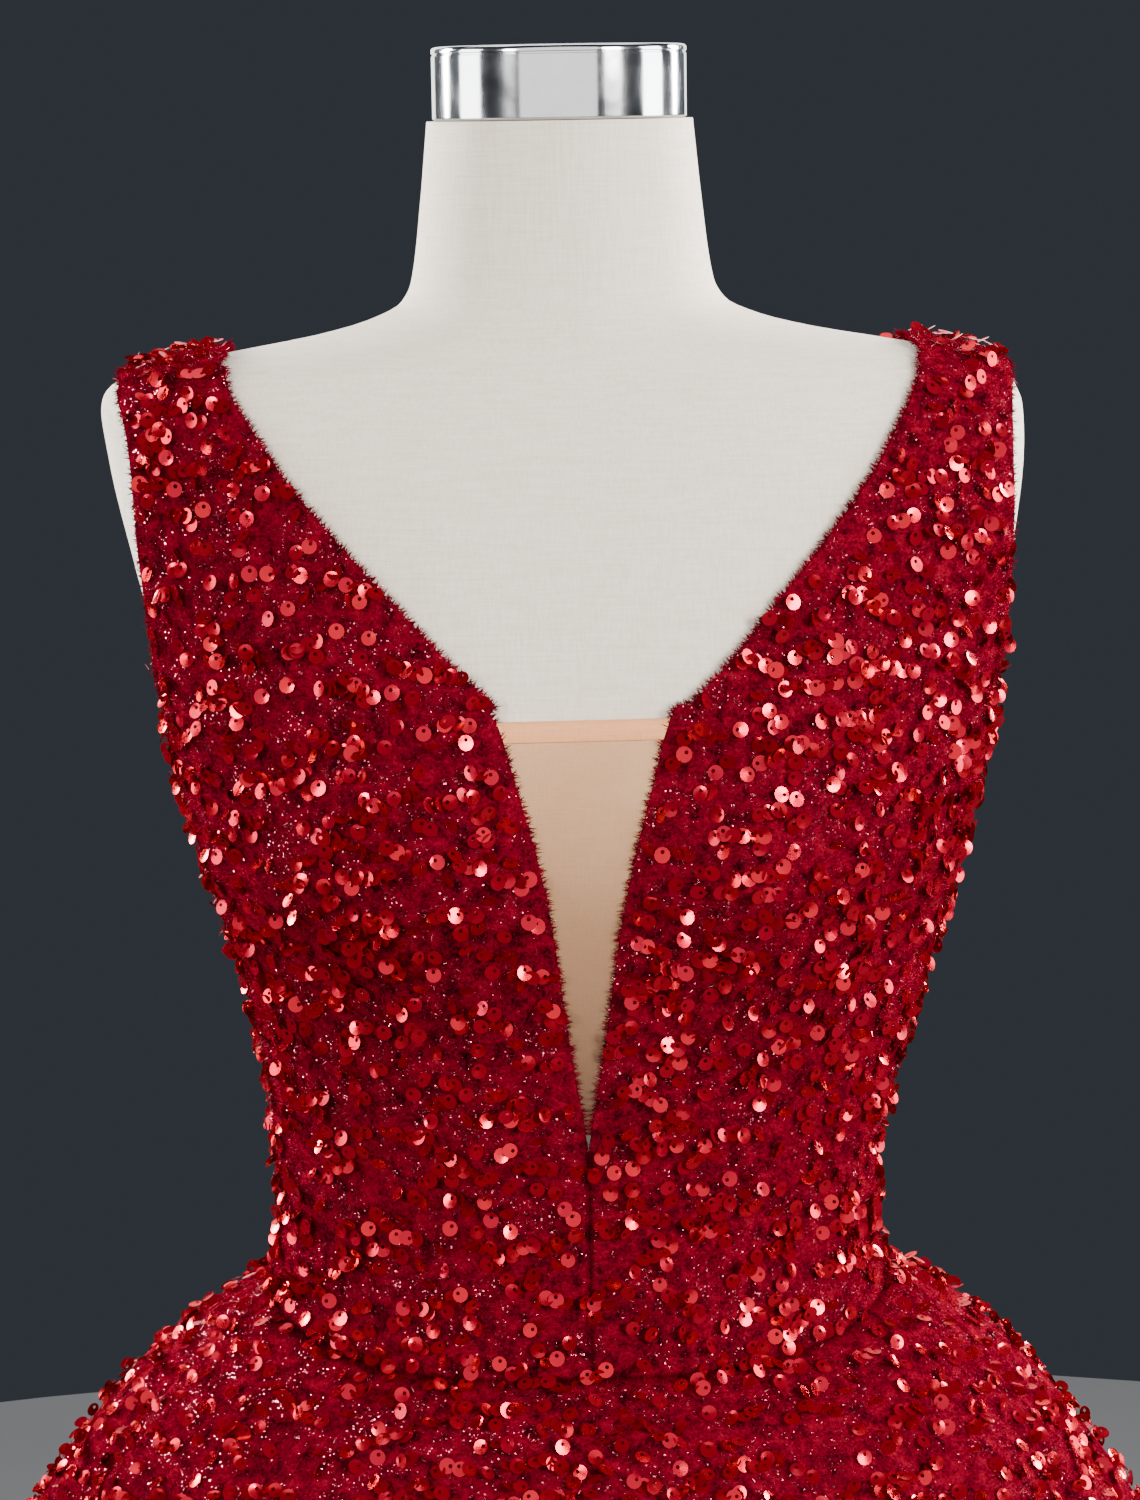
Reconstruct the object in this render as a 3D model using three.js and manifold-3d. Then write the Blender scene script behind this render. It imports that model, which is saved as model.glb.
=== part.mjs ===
// Sleeveless ball gown in sequined velvet, worn on a limbless dress form that stands on a pole and a
// round base. Millimetres, +Z up. The origin is the centre of the base's underside, on the floor.
// The front faces -Y, and +X is the wearer's left. Heights named "rise" count from the form's waist.

import * as THREE from 'three';
import Module from 'manifold-3d';
import { mergeVertices } from 'three/addons/utils/BufferGeometryUtils.js';

// Driving sizes of the form and its stand
const WAIST_Z = 1040;
const NECK_RISE = 464;
const CAP_RADIUS = 53;
const CAP_HEIGHT = 30;
const CAP_BEVEL = 1.5;
const POLE_RADIUS = 14;
const BASE_RADIUS = 190;
const BASE_HEIGHT = 18;
const BASE_BEVEL = 4;
const FORM_COLUMNS = 46;
const FURTHER_RISES = [121, 151, 180, 208, 223, 334, 348, 357, 362.5, 367.5, 373, 379, 385.5];

// Driving sizes of the cloth
const EASE = 1.8;
const CLOTH = 2;
const MESH = 1;
const SEAM = 0.3;
const WAIST_GAP = 0.5;
const UNDERARM_RISE = 232;
const HEM_Z = 12;

// The form's level sections: half width, front and back depth, and how square each section is.
// Sway is how far the sides stand off to the wearer's left, while the centre line stays where it is.
const FORM_SECTIONS = [
  { rise: -200, side: 150, front: 96, back: 104, sway: 0, power: 2.2 },
  { rise: -188, side: 162, front: 103, back: 113, sway: 0, power: 2.2 },
  { rise: -140, side: 165, front: 104, back: 118, sway: 0, power: 2.2 },
  { rise: -80, side: 150, front: 99, back: 106, sway: 0, power: 2.2 },
  { rise: -30, side: 130.5, front: 92, back: 86, sway: 0, power: 2.2 },
  { rise: 0, side: 126.5, front: 90, back: 79, sway: 0, power: 2.2 },
  { rise: 25, side: 128, front: 91, back: 79, sway: 0.6, power: 2.2 },
  { rise: 52, side: 132, front: 93, back: 82, sway: 3, power: 2.2 },
  { rise: 81, side: 138.5, front: 95, back: 87, sway: 4.6, power: 2.25 },
  { rise: 105, side: 144.5, front: 97, back: 91, sway: 5.5, power: 2.3 },
  { rise: 137, side: 154, front: 100, back: 96, sway: 5.5, power: 2.35 },
  { rise: 165, side: 161.5, front: 102, back: 100, sway: 5, power: 2.4 },
  { rise: 194, side: 169, front: 102, back: 103, sway: 5, power: 2.4 },
  { rise: 240, side: 177.5, front: 99, back: 105, sway: 4.5, power: 2.4 },
  { rise: 285, side: 187, front: 93, back: 103, sway: 3.4, power: 2.35 },
  { rise: 325, side: 193.5, front: 84, back: 95, sway: 1.6, power: 2.25 },
  { rise: 343, side: 194.5, front: 78, back: 88, sway: 0, power: 2.15 },
  { rise: 353, side: 192, front: 74, back: 83, sway: -1.5, power: 2.1 },
  { rise: 360, side: 185, front: 70, back: 78, sway: -1.2, power: 2 },
  { rise: 365, side: 168, front: 67, back: 75, sway: 0, power: 2 },
  { rise: 370, side: 140, front: 65, back: 72, sway: 0.8, power: 2 },
  { rise: 376, side: 106, front: 62, back: 70, sway: 1, power: 2 },
  { rise: 382, side: 83, front: 60, back: 68, sway: 0.6, power: 2 },
  { rise: 389, side: 68.5, front: 58, back: 66, sway: 0.2, power: 2 },
  { rise: 398, side: 63.5, front: 56.5, back: 63, sway: 0, power: 2 },
  { rise: 430, side: 59, front: 55, back: 58, sway: 0, power: 2 },
  { rise: 464, side: 55.5, front: 55.5, back: 55.5, sway: 0, power: 2 },
];
const BUST = { x: 77, rise: 168, wide: 54, high: 52, swell: 19 };

// Bodice: rows between the waist seam and the underarm, as shares of that height
const BODICE_SHARES = [0, 0.12, 0.24, 0.36, 0.45, 0.54, 0.62, 0.7, 0.77, 0.84, 0.92, 1];
const BODICE_COLUMNS = 10;
const STRAP_RUNS = [0.1, 0.21, 0.32, 0.43, 0.54, 0.64, 0.73, 0.8, 0.86, 0.91, 0.95, 0.98, 1];

// Half the width that the front neckline leaves open at each rise, from the V point up
const PLUNGE = [
  { rise: 46, open: 0 },
  { rise: 58, open: 2 },
  { rise: 80, open: 5.6 },
  { rise: 109, open: 9.8 },
  { rise: 144, open: 14.6 },
  { rise: 172, open: 20.2 },
  { rise: 202, open: 28 },
  { rise: 228, open: 35.2 },
  { rise: 232, open: 37.6 },
];
const BACK_V = [
  { rise: 118, open: 0 },
  { rise: 150, open: 17 },
  { rise: 190, open: 38 },
  { rise: 232, open: 60 },
];

// How far the straps lie towards the wearer's left, at the underarm and on the shoulder
const STRAP_SWAY = { underarm: 4.6, shoulder: 2 };

// The two edges of the part above the underarm, from there to the shoulder seam
const FRONT_STRAP = [
  { run: 0, neck: [37.6, -104, 232], arm: [176, 0, 232] },
  { run: 0.13, neck: [56, -101, 250], arm: [178, -19, 241] },
  { run: 0.3, neck: [75, -97, 271], arm: [181, -31, 260] },
  { run: 0.48, neck: [97.5, -88, 296], arm: [182, -37, 285] },
  { run: 0.66, neck: [120.6, -70, 325], arm: [181, -38, 316] },
  { run: 0.82, neck: [135, -44, 350], arm: [181, -31, 342] },
  { run: 0.92, neck: [142, -20, 363], arm: [182.5, -16, 355] },
  { run: 1, neck: [145, 0, 368], arm: [183, 0, 358] },
];
const BACK_STRAP = [
  { run: 0, neck: [60, 100, 232], arm: [176, 0, 232] },
  { run: 0.13, neck: [71, 98, 252], arm: [178, 20, 241] },
  { run: 0.3, neck: [85, 95, 277], arm: [181, 32, 260] },
  { run: 0.48, neck: [102, 86, 304], arm: [182, 39, 285] },
  { run: 0.66, neck: [119, 70, 330], arm: [181, 41, 316] },
  { run: 0.82, neck: [134, 45, 351], arm: [181, 33, 342] },
  { run: 0.92, neck: [141.5, 20, 363], arm: [182.5, 17, 355] },
  { run: 1, neck: [145, 0, 368], arm: [183, 0, 358] },
];

// Waist seam: low across the centre front, higher at the sides
const SEAM_FRONT_RISE = -52;
const SEAM_SIDE_RISE = -38;
const SEAM_BACK_RISE = -46;
const SEAM_FLAT = Math.PI / 9;

// Skirt: how far it stands out from the waist seam at each drop, and how deep its folds are there
const SKIRT_DROP = 1000;
const SKIRT_FALL = [
  { drop: 0, out: 0, fold: 0 },
  { drop: 8, out: 16, fold: 0 },
  { drop: 18, out: 30, fold: 0.4 },
  { drop: 30, out: 45.5, fold: 1 },
  { drop: 46, out: 62, fold: 1.8 },
  { drop: 62, out: 75.5, fold: 2.8 },
  { drop: 80, out: 88.5, fold: 3.8 },
  { drop: 100, out: 102, fold: 4.8 },
  { drop: 125, out: 116.5, fold: 6 },
  { drop: 200, out: 155.5, fold: 9 },
  { drop: 350, out: 222, fold: 13.5 },
  { drop: 500, out: 281, fold: 17.5 },
  { drop: 700, out: 356, fold: 21.5 },
  { drop: 850, out: 409.5, fold: 24 },
  { drop: 1000, out: 462, fold: 26 },
];
const SKIRT_ROWS = [0, 8, 20, 38, 62, 94, 140, 210, 320, 460, 630, 815, 1000];
const SKIRT_BACK_FULLNESS = 0.04;
const FOLDS = 20;
const GORE_COLUMNS = 19;
const EDGE_BLEND = 12;
const GORES = [
  { name: 'skirt_front', from: -26, to: 26 },
  { name: 'skirt_side_front_left', from: 26, to: 78 },
  { name: 'skirt_side_back_left', from: 78, to: 129 },
  { name: 'skirt_back_left', from: 129, to: 180 },
  { name: 'skirt_side_front_right', from: -78, to: -26 },
  { name: 'skirt_side_back_right', from: -129, to: -78 },
  { name: 'skirt_back_right', from: -180, to: -129 },
];

// Mesh insert and its folded binding
const INSERT_COLUMNS = 4;
const INSERT_LOW = 53;
const INSERT_HIGH = 226.5;
const BINDING_HEIGHT = 8;
const BINDING_LIFT = 0.3;
const BINDING_WALL = 1.2;
const BINDING_COLUMNS = 6;

// Zip at the centre back: the slider under the point of the V, and its pull
const ZIP_RISE = 106;
const SLIDER = { half: 2.6, length: 10, low: 0.5, high: 2.3 };
const BRIDGE = { half: 0.7, reach: 3.6, post: 1, under: 4.7, top: 5.6 };
const PULL = { bar: 0.5, pivot: 3.5, arm: 2.2, slot: 1.2, slotEnd: 5.4, neck: 1.5, tip: 2.7, length: 24 };
const PULL_ARC_STEPS = 10;

// Colours, as sRGB
const VELVET = 0x9c0f1c;
const NUDE = 0xd9b79a;
const LINEN = 0xe6e1d6;
const CHROME = 0xd8dbe0;
const STAND_GREY = 0x2c2d30;
const ZIP_RED = 0x8c1820;

const { sin, cos, abs, hypot, min, max, PI } = Math;
const degrees = PI / 180;
const smooth = (t) => {
  const s = min(max(t, 0), 1);
  return s * s * (3 - 2 * s);
};
const mix = (a, b, t) => a + (b - a) * t;

// A smooth value from a table: monotone cubic between its rows
function tableValue(rows, key, at, name) {
  const last = rows.length - 1;
  const x = min(max(at, rows[0][key]), rows[last][key]);
  let i = 0;
  while (i < last - 1 && rows[i + 1][key] < x) i += 1;
  const slope = (j) => (rows[j + 1][name] - rows[j][name]) / (rows[j + 1][key] - rows[j][key]);
  const tangent = (j) => {
    if (j === 0) return slope(0);
    if (j === last) return slope(last - 1);
    const before = slope(j - 1);
    const after = slope(j);
    return before * after <= 0 ? 0 : (2 * before * after) / (before + after);
  };
  const span = rows[i + 1][key] - rows[i][key];
  const t = (x - rows[i][key]) / span;
  const low = rows[i][name] * (1 + 2 * t) * (1 - t) ** 2 + rows[i + 1][name] * t * t * (3 - 2 * t);
  return low + span * (tangent(i) * t * (1 - t) ** 2 - tangent(i + 1) * t * t * (1 - t));
}

function section(rise) {
  return {
    side: tableValue(FORM_SECTIONS, 'rise', rise, 'side'),
    front: tableValue(FORM_SECTIONS, 'rise', rise, 'front'),
    back: tableValue(FORM_SECTIONS, 'rise', rise, 'back'),
    sway: tableValue(FORM_SECTIONS, 'rise', rise, 'sway'),
    power: tableValue(FORM_SECTIONS, 'rise', rise, 'power'),
  };
}

function halfWidth(s, x) {
  return s.side + s.sway * Math.sign(x);
}

function bustSwell(x, rise) {
  const high = ((rise - BUST.rise) / BUST.high) ** 2;
  const mound = (centre) => Math.exp(-(((x - centre) / BUST.wide) ** 2) - high);
  return BUST.swell * (mound(BUST.x) + mound(-BUST.x));
}

// Below 0 inside the form, 0 on its surface
function level(p) {
  const rise = p.z - WAIST_Z;
  const s = section(rise);
  const depth = p.y < 0 ? s.front + bustSwell(p.x, rise) : s.back;
  return (abs(p.x) / halfWidth(s, p.x)) ** s.power + (abs(p.y) / depth) ** s.power - 1;
}

function gradient(p) {
  const step = 0.05;
  const along = (axis) => {
    const ahead = p.clone();
    const behind = p.clone();
    ahead[axis] += step;
    behind[axis] -= step;
    return (level(ahead) - level(behind)) / (2 * step);
  };
  return new THREE.Vector3(along('x'), along('y'), along('z'));
}

// The nearest place on the form, moved out by an offset
function seat(x, y, z, offset) {
  const p = new THREE.Vector3(x, y, z);
  for (let pass = 0; pass < 12; pass += 1) {
    const g = gradient(p);
    const move = g.clone().multiplyScalar(-level(p) / g.lengthSq());
    p.add(move.clampLength(0, 15));
  }
  return p.add(gradient(p).normalize().multiplyScalar(offset));
}

// A place round the form at a height, moved out by an offset and still at that height.
// The angle counts from the centre front towards +X.
function skin(angle, rise, offset) {
  const s = section(rise);
  const half = halfWidth(s, sin(angle));
  const x = half * Math.sign(sin(angle)) * abs(sin(angle)) ** (2 / s.power);
  const front = cos(angle) > 0;
  const depth = front ? s.front + bustSwell(x, rise) : s.back;
  const y = (front ? -1 : 1) * depth * (1 - min(abs(x) / half, 1) ** s.power) ** (1 / s.power);
  const p = new THREE.Vector3(x, y, WAIST_Z + rise);
  const g = gradient(p);
  const across = hypot(g.x, g.y);
  const move = (offset * g.length()) / across / across;
  return new THREE.Vector3(x + g.x * move, y + g.y * move, p.z);
}

function seamRise(angle) {
  const turn = abs(angle);
  if (turn > PI / 2) return mix(SEAM_SIDE_RISE, SEAM_BACK_RISE, smooth((turn - PI / 2) / (PI / 2)));
  return mix(SEAM_FRONT_RISE, SEAM_SIDE_RISE, smooth((turn - SEAM_FLAT) / (PI / 2 - SEAM_FLAT)));
}

// A closed body from its rings of points, lowest first, with flat ends
function loft(rings) {
  const columns = rings[0].length;
  const points = rings.flat();
  const faces = [];
  for (let r = 0; r + 1 < rings.length; r += 1) {
    for (let c = 0; c < columns; c += 1) {
      const a = r * columns + c;
      const b = r * columns + ((c + 1) % columns);
      faces.push(a, b, b + columns, a, b + columns, a + columns);
    }
  }
  const middle = (ring) => ring.reduce((sum, p) => sum.add(p), new THREE.Vector3()).divideScalar(columns);
  points.push(middle(rings[0]), middle(rings[rings.length - 1]));
  const top = (rings.length - 1) * columns;
  for (let c = 0; c < columns; c += 1) {
    const next = (c + 1) % columns;
    faces.push(points.length - 2, next, c, points.length - 1, top + c, top + next);
  }
  return solid(points, faces);
}

// A closed wall from two grids of points, the outer and the inner, row by row
function wall(outer, inner) {
  const rows = outer.length;
  const columns = outer[0].length;
  const points = [...outer.flat(), ...inner.flat()];
  const back = rows * columns;
  const faces = [];
  const quad = (a, b, c, d) => faces.push(a, b, c, a, c, d);
  for (let r = 0; r + 1 < rows; r += 1) {
    for (let c = 0; c + 1 < columns; c += 1) {
      const a = r * columns + c;
      const up = a + columns;
      quad(a, a + 1, up + 1, up);
      quad(back + a, back + up, back + up + 1, back + a + 1);
    }
  }
  for (let c = 0; c + 1 < columns; c += 1) {
    const top = (rows - 1) * columns + c;
    quad(c, back + c, back + c + 1, c + 1);
    quad(top, top + 1, back + top + 1, back + top);
  }
  for (let r = 0; r + 1 < rows; r += 1) {
    const first = r * columns;
    const last = first + columns - 1;
    quad(first, first + columns, back + first + columns, back + first);
    quad(last, back + last, back + last + columns, last + columns);
  }
  return solid(points, faces);
}

function solid(points, faces) {
  const geometry = new THREE.BufferGeometry();
  const places = points.flatMap((p) => [p.x, p.y, p.z]);
  geometry.setAttribute('position', new THREE.Float32BufferAttribute(places, 3));
  geometry.setIndex(faces);
  return geometry;
}

// The angle at which a level section is a width away from the centre line, on a side
function angleAt(open, rise, side) {
  const s = section(rise);
  return Math.asin((open / halfWidth(s, side)) ** (s.power / 2));
}

// One quarter of the bodice, on the wearer's left where side is 1, in front where facing is -1
function bodicePanel(side, facing, neckline, strap) {
  const front = facing < 0;
  const bottomEdge = seamRise(front ? 0 : PI) + WAIST_GAP / 2;
  const lower = BODICE_SHARES.map((share) => {
    const edgeRise = mix(bottomEdge, UNDERARM_RISE, share);
    const open = tableValue(neckline, 'rise', edgeRise, 'open');
    const lean = angleAt(open, edgeRise, side);
    const edge = front ? lean : PI - lean;
    return Array.from({ length: BODICE_COLUMNS + 1 }, (unused, c) => {
      const angle = mix(edge, PI / 2, c / BODICE_COLUMNS);
      const rise = mix(seamRise(angle) + WAIST_GAP / 2, UNDERARM_RISE, share);
      return { angle, rise, centre: c === 0 && open < SEAM, onSide: c === BODICE_COLUMNS };
    });
  });
  const upper = STRAP_RUNS.map((run) => {
    const edge = (name) => [0, 1, 2].map((i) => {
      const rows = strap.map((row) => ({ run: row.run, value: row[name][i] }));
      return tableValue(rows, 'run', run, 'value');
    });
    const neck = edge('neck');
    const arm = edge('arm');
    const sway = mix(STRAP_SWAY.underarm, STRAP_SWAY.shoulder, run);
    return Array.from({ length: BODICE_COLUMNS + 1 }, (unused, c) => {
      const [x, y, rise] = [0, 1, 2].map((i) => mix(neck[i], arm[i], c / BODICE_COLUMNS));
      return { guess: [side * x + sway, y, WAIST_Z + rise], shoulder: run === 1 };
    });
  });
  const place = (offset) => (spot) => {
    const p = spot.guess ? seat(...spot.guess, offset) : skin(side * spot.angle, spot.rise, offset);
    p.x = side * (spot.centre ? SEAM / 2 : max(side * p.x, SEAM / 2));
    p.y = facing * (spot.onSide || spot.shoulder ? SEAM / 2 : max(facing * p.y, SEAM / 2));
    return p;
  };
  const grid = (offset) => [...lower, ...upper].map((row) => row.map(place(offset)));
  const outer = grid(EASE + CLOTH);
  const inner = grid(EASE);
  return side * facing < 0 ? wall(outer, inner) : wall(flip(outer), flip(inner));
}

// The columns of a grid in the other order, so that its faces turn round
function flip(grid) {
  return grid.map((row) => [...row].reverse());
}

// The mesh lies flat across the V, from one edge of the neckline to the other
function insertPoint(across, rise, offset) {
  const open = tableValue(PLUNGE, 'rise', rise, 'open');
  const edge = (side) => skin(side * angleAt(open, rise, side), rise, offset);
  const right = edge(-1);
  const left = edge(1);
  right.x += SEAM;
  left.x -= SEAM;
  return right.lerp(left, across);
}

function insertGrid(rises, columnCount, offset) {
  return rises.map((rise) => Array.from({ length: columnCount + 1 }, (unused, c) => (
    insertPoint(c / columnCount, rise, offset)
  )));
}

// Its rows are level with those of the bodice, so that the two edges run side by side
function meshInsert() {
  const bottom = SEAM_FRONT_RISE + WAIST_GAP / 2;
  const level = BODICE_SHARES.map((share) => mix(bottom, UNDERARM_RISE, share));
  const between = level.filter((rise) => rise > INSERT_LOW + 2 && rise < INSERT_HIGH - 2);
  const rises = [INSERT_LOW, ...between, INSERT_HIGH];
  const grid = (offset) => insertGrid(rises, INSERT_COLUMNS, offset);
  return wall(grid(EASE + MESH), grid(EASE));
}

function insertBinding() {
  const low = INSERT_HIGH - BINDING_HEIGHT + 1;
  const front = EASE + MESH + BINDING_LIFT;
  const rises = [low, low + BINDING_HEIGHT / 2, low + BINDING_HEIGHT];
  const grid = (offset) => insertGrid(rises, BINDING_COLUMNS, offset);
  return wall(grid(front + BINDING_WALL), grid(front));
}

// Uneven soft folds: broad ridges and narrower valleys
function foldWave(angle) {
  const turn = FOLDS * angle + 0.9 * sin(2 * angle + 0.6) + 0.6 * sin(3 * angle + 2.1);
  const depth = 1 + 0.28 * sin(3 * angle + 0.4) + 0.18 * sin(5 * angle + 2);
  return depth * (cos(turn) - 0.22 * cos(2 * turn));
}

function skirtPoint(angle, drop) {
  const rise = seamRise(angle);
  const start = skin(angle, rise, EASE + CLOTH);
  const out = tableValue(SKIRT_FALL, 'drop', drop, 'out') * (1 + SKIRT_BACK_FULLNESS * max(-cos(angle), 0));
  const fold = tableValue(SKIRT_FALL, 'drop', drop, 'fold') * foldWave(angle);
  const top = WAIST_Z + rise - WAIST_GAP / 2;
  const z = mix(top, HEM_Z, drop / SKIRT_DROP);
  return new THREE.Vector3(start.x + (out + fold) * sin(angle), start.y - (out + fold) * cos(angle), z);
}

function skirtNormal(angle, drop) {
  const turn = 0.002;
  const step = 0.5;
  const round = skirtPoint(angle + turn, drop).sub(skirtPoint(angle - turn, drop));
  const low = min(drop + step, SKIRT_DROP);
  const down = skirtPoint(angle, low).sub(skirtPoint(angle, max(low - 2 * step, 0)));
  const leaning = down.cross(round).normalize();
  const straight = new THREE.Vector3(leaning.x, leaning.y, 0).normalize();
  return straight.lerp(leaning, smooth(drop / EDGE_BLEND)).normalize();
}

function skirtGore(gore) {
  const grid = (depth) => [...SKIRT_ROWS].reverse().map((drop) => (
    Array.from({ length: GORE_COLUMNS + 1 }, (unused, c) => {
      const middle = skirtPoint((gore.from * degrees + gore.to * degrees) / 2, drop);
      const inset = SEAM / 2 / hypot(middle.x, middle.y);
      const angle = mix(gore.from * degrees + inset, gore.to * degrees - inset, c / GORE_COLUMNS);
      return skirtPoint(angle, drop).addScaledVector(skirtNormal(angle, drop), -depth);
    })
  ));
  return wall(grid(0), grid(CLOTH));
}

function formTorso() {
  const rises = [...FORM_SECTIONS.map((row) => row.rise), ...FURTHER_RISES].sort((a, b) => a - b);
  const rings = rises.map((rise) => Array.from({ length: FORM_COLUMNS }, (unused, c) => (
    skin((c / FORM_COLUMNS) * 2 * PI, rise, 0)
  )));
  return loft(rings);
}

// A round piece turned from a profile of radius and height
function turned(profile, columns) {
  const points = profile.map(([radius, height]) => new THREE.Vector2(radius, height));
  return new THREE.LatheGeometry(points, columns).rotateX(PI / 2);
}

function neckCap() {
  const low = WAIST_Z + NECK_RISE + SEAM;
  const high = low + CAP_HEIGHT;
  return turned([
    [0, low], [CAP_RADIUS, low], [CAP_RADIUS, high - CAP_BEVEL], [CAP_RADIUS - CAP_BEVEL, high], [0, high],
  ], 40);
}

function standPole() {
  const low = BASE_HEIGHT + SEAM;
  const high = WAIST_Z + FORM_SECTIONS[0].rise - SEAM;
  return turned([[0, low], [POLE_RADIUS, low], [POLE_RADIUS, high], [0, high]], 24);
}

function standBase() {
  return turned([
    [0, 0], [BASE_RADIUS, 0], [BASE_RADIUS, BASE_HEIGHT - BASE_BEVEL],
    [BASE_RADIUS - BASE_BEVEL, BASE_HEIGHT], [0, BASE_HEIGHT],
  ], 48);
}

// Joins and cuts closed meshes
const wasm = await Module();
wasm.setup();

function toManifold(geometry) {
  const bare = geometry.clone();
  bare.deleteAttribute('normal');
  bare.deleteAttribute('uv');
  const merged = mergeVertices(bare);
  return new wasm.Manifold(new wasm.Mesh({
    numProp: 3,
    vertProperties: new Float32Array(merged.attributes.position.array),
    triVerts: new Uint32Array(merged.index.array),
  }));
}

function fromManifold(body) {
  const mesh = body.getMesh();
  const geometry = new THREE.BufferGeometry();
  geometry.setAttribute('position', new THREE.BufferAttribute(new Float32Array(mesh.vertProperties), 3));
  geometry.setIndex(new THREE.BufferAttribute(new Uint32Array(mesh.triVerts), 1));
  return geometry;
}

function box(x, y, z) {
  const geometry = new THREE.BoxGeometry(x[1] - x[0], y[1] - y[0], z[1] - z[0]);
  return geometry.translate((x[0] + x[1]) / 2, (y[0] + y[1]) / 2, (z[0] + z[1]) / 2);
}

// The slider lies on the cloth, its bridge runs up and down. Here Y points away from the cloth.
function zipSlider() {
  const s = SLIDER;
  const b = BRIDGE;
  const half = s.length / 2;
  const body = toManifold(box([-s.half, s.half], [s.low, s.high], [-half, half]));
  const block = toManifold(box([-b.half, b.half], [s.low + 0.5, b.top], [-b.reach, b.reach]));
  const room = toManifold(box([-b.half - 1, b.half + 1], [s.high, b.under], [b.post - b.reach, b.reach - b.post]));
  return fromManifold(body.add(block).subtract(room));
}

// The pull hangs from its bar, which turns under the bridge. The bar is at the origin here.
function zipPull() {
  const p = PULL;
  const tipCentre = p.tip - p.length;
  const outline = new THREE.Shape();
  outline.moveTo(-p.arm, p.bar);
  outline.lineTo(-p.arm, -p.slotEnd - 0.6);
  outline.lineTo(-p.neck, -p.slotEnd - 2.4);
  outline.lineTo(-p.tip, tipCentre);
  for (let i = 1; i < PULL_ARC_STEPS; i += 1) {
    const turn = PI + (PI * i) / PULL_ARC_STEPS;
    outline.lineTo(p.tip * cos(turn), tipCentre + p.tip * sin(turn));
  }
  outline.lineTo(p.tip, tipCentre);
  outline.lineTo(p.neck, -p.slotEnd - 2.4);
  outline.lineTo(p.arm, -p.slotEnd - 0.6);
  outline.lineTo(p.arm, p.bar);
  const slot = new THREE.Path();
  slot.moveTo(-p.slot, -p.bar);
  slot.lineTo(p.slot, -p.bar);
  slot.lineTo(p.slot, -p.slotEnd);
  slot.lineTo(-p.slot, -p.slotEnd);
  outline.holes.push(slot);
  const plate = new THREE.ExtrudeGeometry(outline, { depth: 2 * p.bar, bevelEnabled: false });
  plate.translate(0, 0, -p.bar);
  return plate.rotateX(PI / 2);
}

const gown = new THREE.Group();

function add(parent, name, geometry, color, roughness, metalness) {
  const mesh = new THREE.Mesh(geometry, new THREE.MeshStandardMaterial({ color, roughness, metalness }));
  mesh.name = name;
  parent.add(mesh);
  return mesh;
}

add(gown, 'form_torso', formTorso(), LINEN, 0.9, 0);
add(gown, 'neck_cap', neckCap(), CHROME, 0.12, 1);
add(gown, 'stand_pole', standPole(), CHROME, 0.2, 1);
add(gown, 'stand_base', standBase(), STAND_GREY, 0.5, 0.6);
for (const [name, side] of [['left', 1], ['right', -1]]) {
  add(gown, `bodice_front_${name}`, bodicePanel(side, -1, PLUNGE, FRONT_STRAP), VELVET, 0.6, 0);
  add(gown, `bodice_back_${name}`, bodicePanel(side, 1, BACK_V, BACK_STRAP), VELVET, 0.6, 0);
}
add(gown, 'illusion_mesh_insert', meshInsert(), NUDE, 0.8, 0);
add(gown, 'insert_binding', insertBinding(), NUDE, 0.6, 0);
for (const gore of GORES) add(gown, gore.name, skirtGore(gore), VELVET, 0.6, 0);

// The zip's frame stands on the cloth at the centre back, leaning as the cloth does there
const zipPlace = skin(PI, ZIP_RISE, EASE + CLOTH);
const zipSlope = gradient(zipPlace);
const zipLean = Math.atan2(zipSlope.z, zipSlope.y);
const zip = new THREE.Group();
zip.position.copy(zipPlace);
zip.rotation.x = zipLean;
gown.add(zip);
add(zip, 'zip_slider', zipSlider(), ZIP_RED, 0.35, 0.6);
const pull = add(zip, 'zip_pull', zipPull(), ZIP_RED, 0.35, 0.6);
pull.position.y = PULL.pivot;
pull.rotation.x = -zipLean;

export default gown;
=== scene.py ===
# Sequined velvet ball gown on a linen dress form. Sizes are in millimetres until a mesh is made.
# The front faces -Y, +X is the wearer's left, and "rise" counts up from the form's waist.
import math

import bpy
import numpy as np
from mathutils import Matrix, Vector


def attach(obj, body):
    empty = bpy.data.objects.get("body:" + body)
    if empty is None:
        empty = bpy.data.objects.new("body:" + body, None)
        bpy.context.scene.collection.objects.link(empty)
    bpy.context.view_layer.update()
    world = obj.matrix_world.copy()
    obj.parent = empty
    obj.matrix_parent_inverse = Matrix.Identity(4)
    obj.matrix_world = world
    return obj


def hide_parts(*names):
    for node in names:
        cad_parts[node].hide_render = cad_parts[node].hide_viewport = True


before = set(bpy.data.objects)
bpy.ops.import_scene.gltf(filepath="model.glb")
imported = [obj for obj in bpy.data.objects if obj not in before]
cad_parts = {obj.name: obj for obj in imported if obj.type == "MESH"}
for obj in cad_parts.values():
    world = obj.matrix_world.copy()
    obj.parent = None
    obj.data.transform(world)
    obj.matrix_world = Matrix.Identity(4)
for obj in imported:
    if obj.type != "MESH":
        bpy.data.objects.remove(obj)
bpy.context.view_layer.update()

MM = 0.001
GOWN = "gown"

# The shells' panels meet closer than the solids do, so that nothing shows through a seam
JOIN = 0.04

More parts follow.
